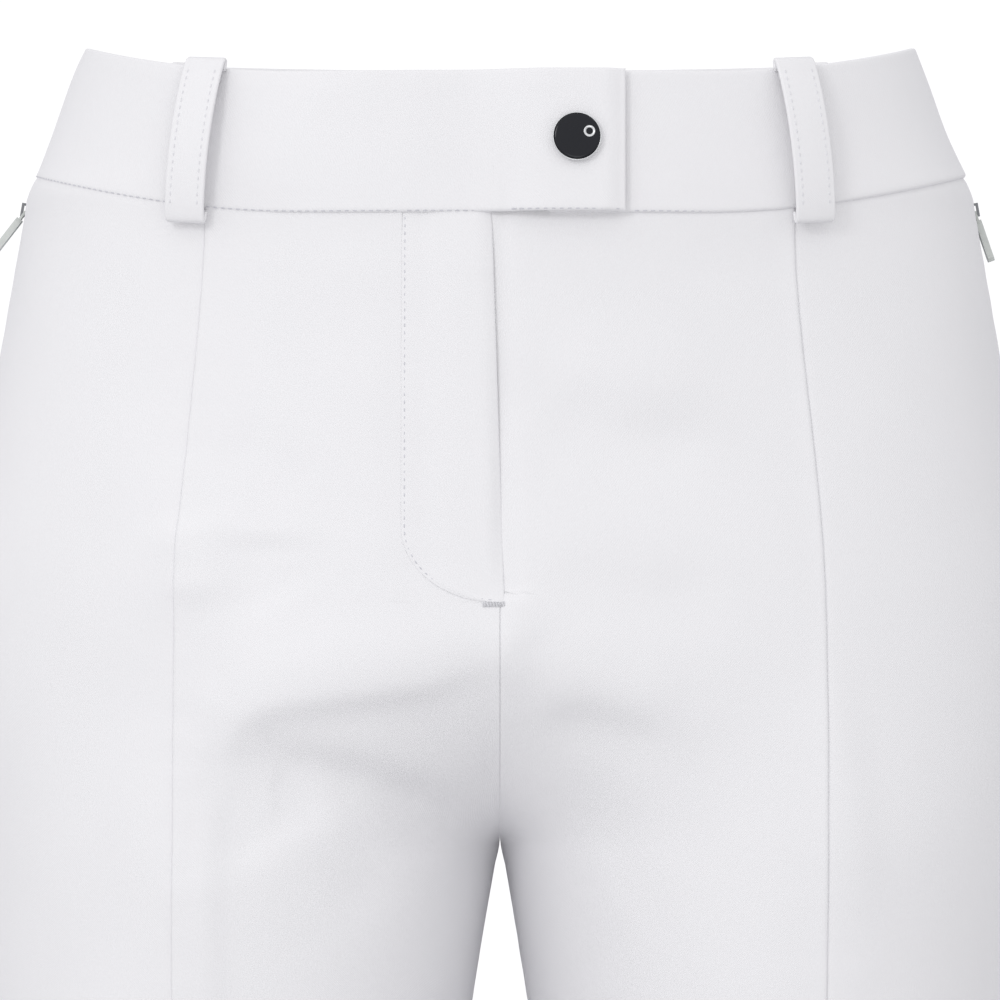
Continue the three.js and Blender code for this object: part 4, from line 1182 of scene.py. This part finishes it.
def stitches(name, lines, pitch=2.8, length=1.9, radius=0.24, material="thread_and_hole_shade"):
    """Short threads that dip into the cloth at both ends."""
    points, faces = [], []
    sides = 6
    ring = np.linspace(0, 2 * math.pi, sides + 1)[:-1]
    share = np.array([0, 0.16, 0.5, 0.84, 1])
    wide = np.array([0.55, 0.95, 1.0, 0.95, 0.55]) * radius
    dip = np.array([-0.42, -0.02, 0.1, -0.02, -0.42])
    count = 0
    for line, normal in lines:
        step = np.concatenate([[0], np.cumsum(np.linalg.norm(np.diff(line, axis=0), axis=1))])
        for s in np.arange(0.4, step[-1] - length, pitch):
            at = s + share * length
            c = np.stack([np.interp(at, step, line[:, k]) for k in range(3)], -1)
            n = np.stack([np.interp(at, step, normal[:, k]) for k in range(3)], -1)
            t = c[-1] - c[0]
            t /= np.linalg.norm(t)
            b = np.cross(t, n[2])
            b /= np.linalg.norm(b)
            n2 = np.cross(b, t)
            c = c + n2 * dip[:, None]
            around = np.cos(ring)[None, :, None] * b + np.sin(ring)[None, :, None] * n2
            tube = c[:, None] + wide[:, None, None] * around
            points.append(tube.reshape(-1, 3))
            faces.append(grid_faces(5, sides, count, False, True))
            cap_a = np.array([[0, 1, 2, 3], [0, 3, 4, 5]]) + count
            cap_b = np.array([[3, 2, 1, 0], [5, 4, 3, 0]]) + count + 4 * sides
            faces += [cap_a[:, ::-1], cap_b[:, ::-1]]
            count += 5 * sides
    make_object(name, np.vstack(points), np.vstack(faces), material)


def level_line(side, a0, a1, z_of, lift, with_folds=False, count=160):
    a = np.linspace(a0, a1, count)
    z = z_of(a)
    up = lift(a, z) if callable(lift) else lift + 0 * a
    if with_folds:
        up = up + relief(side, a, z)
    return seam_line(side, a, z, up)


pants_lines, back_lines, flap_lines, band_end_lines, tab_lines = [], [], [], [], []
low_row = lambda a: band_bottom(a) + 0.5
low_lift = lambda a, z: BAND_PROUD - 0.28 - band_taper(a, z)
angle_at = lambda x, z: float(at_x(np.array(float(z)), x, 1))
centre_back_a = float(centre_back(np.array(-40.0)))
pants_lines.append(level_line(LEFT, 0.02, angle_at(44.5, -48), low_row, low_lift))
pants_lines.append(level_line(RIGHT, 0.02, angle_at(FLY_FOLD + 1, -48), low_row, low_lift))
band_end_lines.append(
    level_line(RIGHT, angle_at(FLY_FOLD - 1, -48), angle_at(3, -48), low_row, low_lift, count=50))
for side in (LEFT, RIGHT):
    back_lines.append(level_line(side, -0.02, centre_back_a, low_row, low_lift))
    back_lines.append(level_line(side, -0.06, centre_back_a, lambda a: yoke_seam(a) + 1.8, 0.45, True))
    back_lines.append(level_line(side, -0.06, centre_back_a, lambda a: yoke_seam(a) + 7.2, 0.2, True))
    for z_hem in (HEM_Z + 24, HEM_Z + 26.5):
        back_lines.append(level_line(side, -3.1, 3.1, lambda a, z_hem=z_hem: z_hem + 0 * a, 0.25, True, 320))


def tab_edge_line():
    xs = np.arange(TAB_END_X - 1.6, 2, -1.5)
    zs = np.full(len(xs), -49.4)
    a = at_x(zs, xs, 1)
    return seam_line(LEFT, a, zs, tab_back(xs) + tab_depth(xs) - 0.3)


tab_lines.append(tab_edge_line())


def j_points(inset):
    """The J-shaped stitch line, a little inside the flap's sewn edge."""
    straight = np.arange(-50.8, FLY_CURVE_Z, -1.5)
    t = np.linspace(0, math.pi / 2 - 0.03, 50)
    wide, deep = FLY_FOLD - inset, -(FLY_END_Z - FLY_CURVE_Z) - inset
    x = np.concatenate([np.full(len(straight), wide), wide * np.cos(t)])
    z = np.concatenate([straight, FLY_CURVE_Z - deep * np.sin(t)])
    return at_x(z, x, 1), z


ja, jz = j_points(0.9)
flap_lines.append(seam_line(RIGHT, ja, jz, flap_lift(ja, jz) + relief(RIGHT, ja, jz) - 0.02))

# the band, fly, band-end and tab rows take the darker thread, whose grey is partly painted shade of their
# needle holes
stitches("stitches_front", pants_lines)
stitches("stitches_loops", LOOP_STITCHES, material="thread_pale")
stitches("stitches_back", back_lines, material="thread_pale")
stitches("stitches_fly", flap_lines, pitch=2.7, length=1.7, radius=0.26)
stitches("stitches_band_end", band_end_lines)
stitches("stitches_tab", tab_lines)

# bar tack at the foot of the fly
tack_lines = []
for x in np.linspace(-6.0, 1.2, 15):
    xs = np.array([x, x + 0.35])
    zs = np.array([-187.9, -184.6])
    side = RIGHT if x < 0 else LEFT
    a = at_x(zs, np.abs(xs), 1)
    tack_lines.append(seam_line(side, a, zs, relief(side, a, zs) + (0.5 if x < -0.5 else 0.32), 0.5))
stitches("stitches_fly_tack", tack_lines, pitch=9, length=2.2, radius=0.2, material="thread_pale")

# ---- CAD nodes that stay get bevels and better materials ----
KEPT = {
    "fly_zip_slider": "dark_metal", "fly_zip_pull": "dark_metal", "fly_zip_stop": "dark_metal",
    "pocket_slider_left": "dark_metal", "pocket_slider_right": "dark_metal",
    "pocket_pull_left": "puller", "pocket_pull_right": "puller",
}
for name, material in KEPT.items():
    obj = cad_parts[name]
    if not obj.material_slots:
        obj.data.materials.append(None)
    for slot in obj.material_slots:
        slot.link = "OBJECT"
        slot.material = MATERIALS[material]
    bevel = obj.modifiers.new("bevel", "BEVEL")
    bevel.width = (0.35 if "pull" in name else 0.22) * MM
    bevel.segments = 3
    bevel.limit_method = "ANGLE"
    bevel.angle_limit = math.radians(32)
    bevel.harden_normals = False

# ---- bodies and replaced nodes ----
TAB_PIECES = ("snap_cap", "snap_cap_insert", "snap_cap_ring", "snap_socket")


def flap_blend(obj):
    """Bakes the object's placement into its mesh."""
    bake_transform(obj)


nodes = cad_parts
for name, obj in OBJECTS.items():
    if name == "waistband_front_right":
        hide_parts(name, "waistband_end_right")
    elif name in nodes:
        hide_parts(name)
    if name in ("fly_flap", "stitches_fly", "waistband_front_right", "stitches_band_end"):
        flap_blend(obj)
    elif name in ("waistband_tab", "stitches_tab"):
        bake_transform(obj)
    elif name in TAB_PIECES:
        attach(obj, "tab")
    else:
        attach(obj, "pants")

# ---- floor, light and world ----


def stage():
    mesh = bpy.data.meshes.new("floor")
    turn = np.linspace(0, 2 * math.pi, 65)[:-1]
    ring = [(4 * math.cos(t), 4 * math.sin(t), 0) for t in turn]
    mesh.from_pydata(ring, [], [tuple(range(64))])
    floor = bpy.data.objects.new("floor", mesh)
    floor.location = (0, 0, HEM_Z * MM - 0.003)
    mat, tree, shader = new_material("floor", (0.62, 0.62, 0.63), 0.7)
    position = node(tree, "ShaderNodeTexCoord").outputs["Object"]
    vary_color(tree, shader, (0.62, 0.62, 0.63), position, 2.0, 0.01)
    mesh.materials.append(mat)
    bpy.context.collection.objects.link(floor)


def area_light(name, location, target, size, power):
    data = bpy.data.lights.new(name, "AREA")
    data.shape, data.size, data.energy = "DISK", size, power
    obj = bpy.data.objects.new(name, data)
    obj.location = location
    obj.rotation_euler = (Vector(target) - Vector(location)).to_track_quat("-Z", "Y").to_euler()
    obj.visible_camera = False
    bpy.context.collection.objects.link(obj)


LIGHT_LEVEL = 0.835
LIGHT_LEAN = (-0.07, -0.10, 0.17)


def light():
    world = bpy.data.worlds.new("studio")
    world.use_nodes = True
    tree = world.node_tree
    back = tree.nodes["Background"]
    back.inputs["Color"].default_value = (0.99, 0.988, 1.0, 1)
    # white behind the object; the light on it comes a little more from above, the front and the left
    way = node(tree, "ShaderNodeTexCoord").outputs["Generated"]
    dot = node(tree, "ShaderNodeVectorMath", {0: way, 1: LIGHT_LEAN}, operation="DOT_PRODUCT")
    level = math_node(tree, "ADD", dot.outputs["Value"], LIGHT_LEVEL)
    seen = node(tree, "ShaderNodeLightPath").outputs["Is Camera Ray"]
    strength = node(tree, "ShaderNodeMix", {"Factor": seen, "A": level, "B": 1.05})
    tree.links.new(strength.outputs["Result"], back.inputs["Strength"])
    bpy.context.scene.world = world
    area_light("key", (-1.5, -2.6, 1.1), (0, 0, -0.2), 0.9, 14)
    area_light("low", (0.1, -1.9, -0.5), (0, 0, -0.33), 0.9, 3)
    bpy.context.scene.view_settings.view_transform = "Standard"
    bpy.context.scene.view_settings.look = "None"


stage()
light()
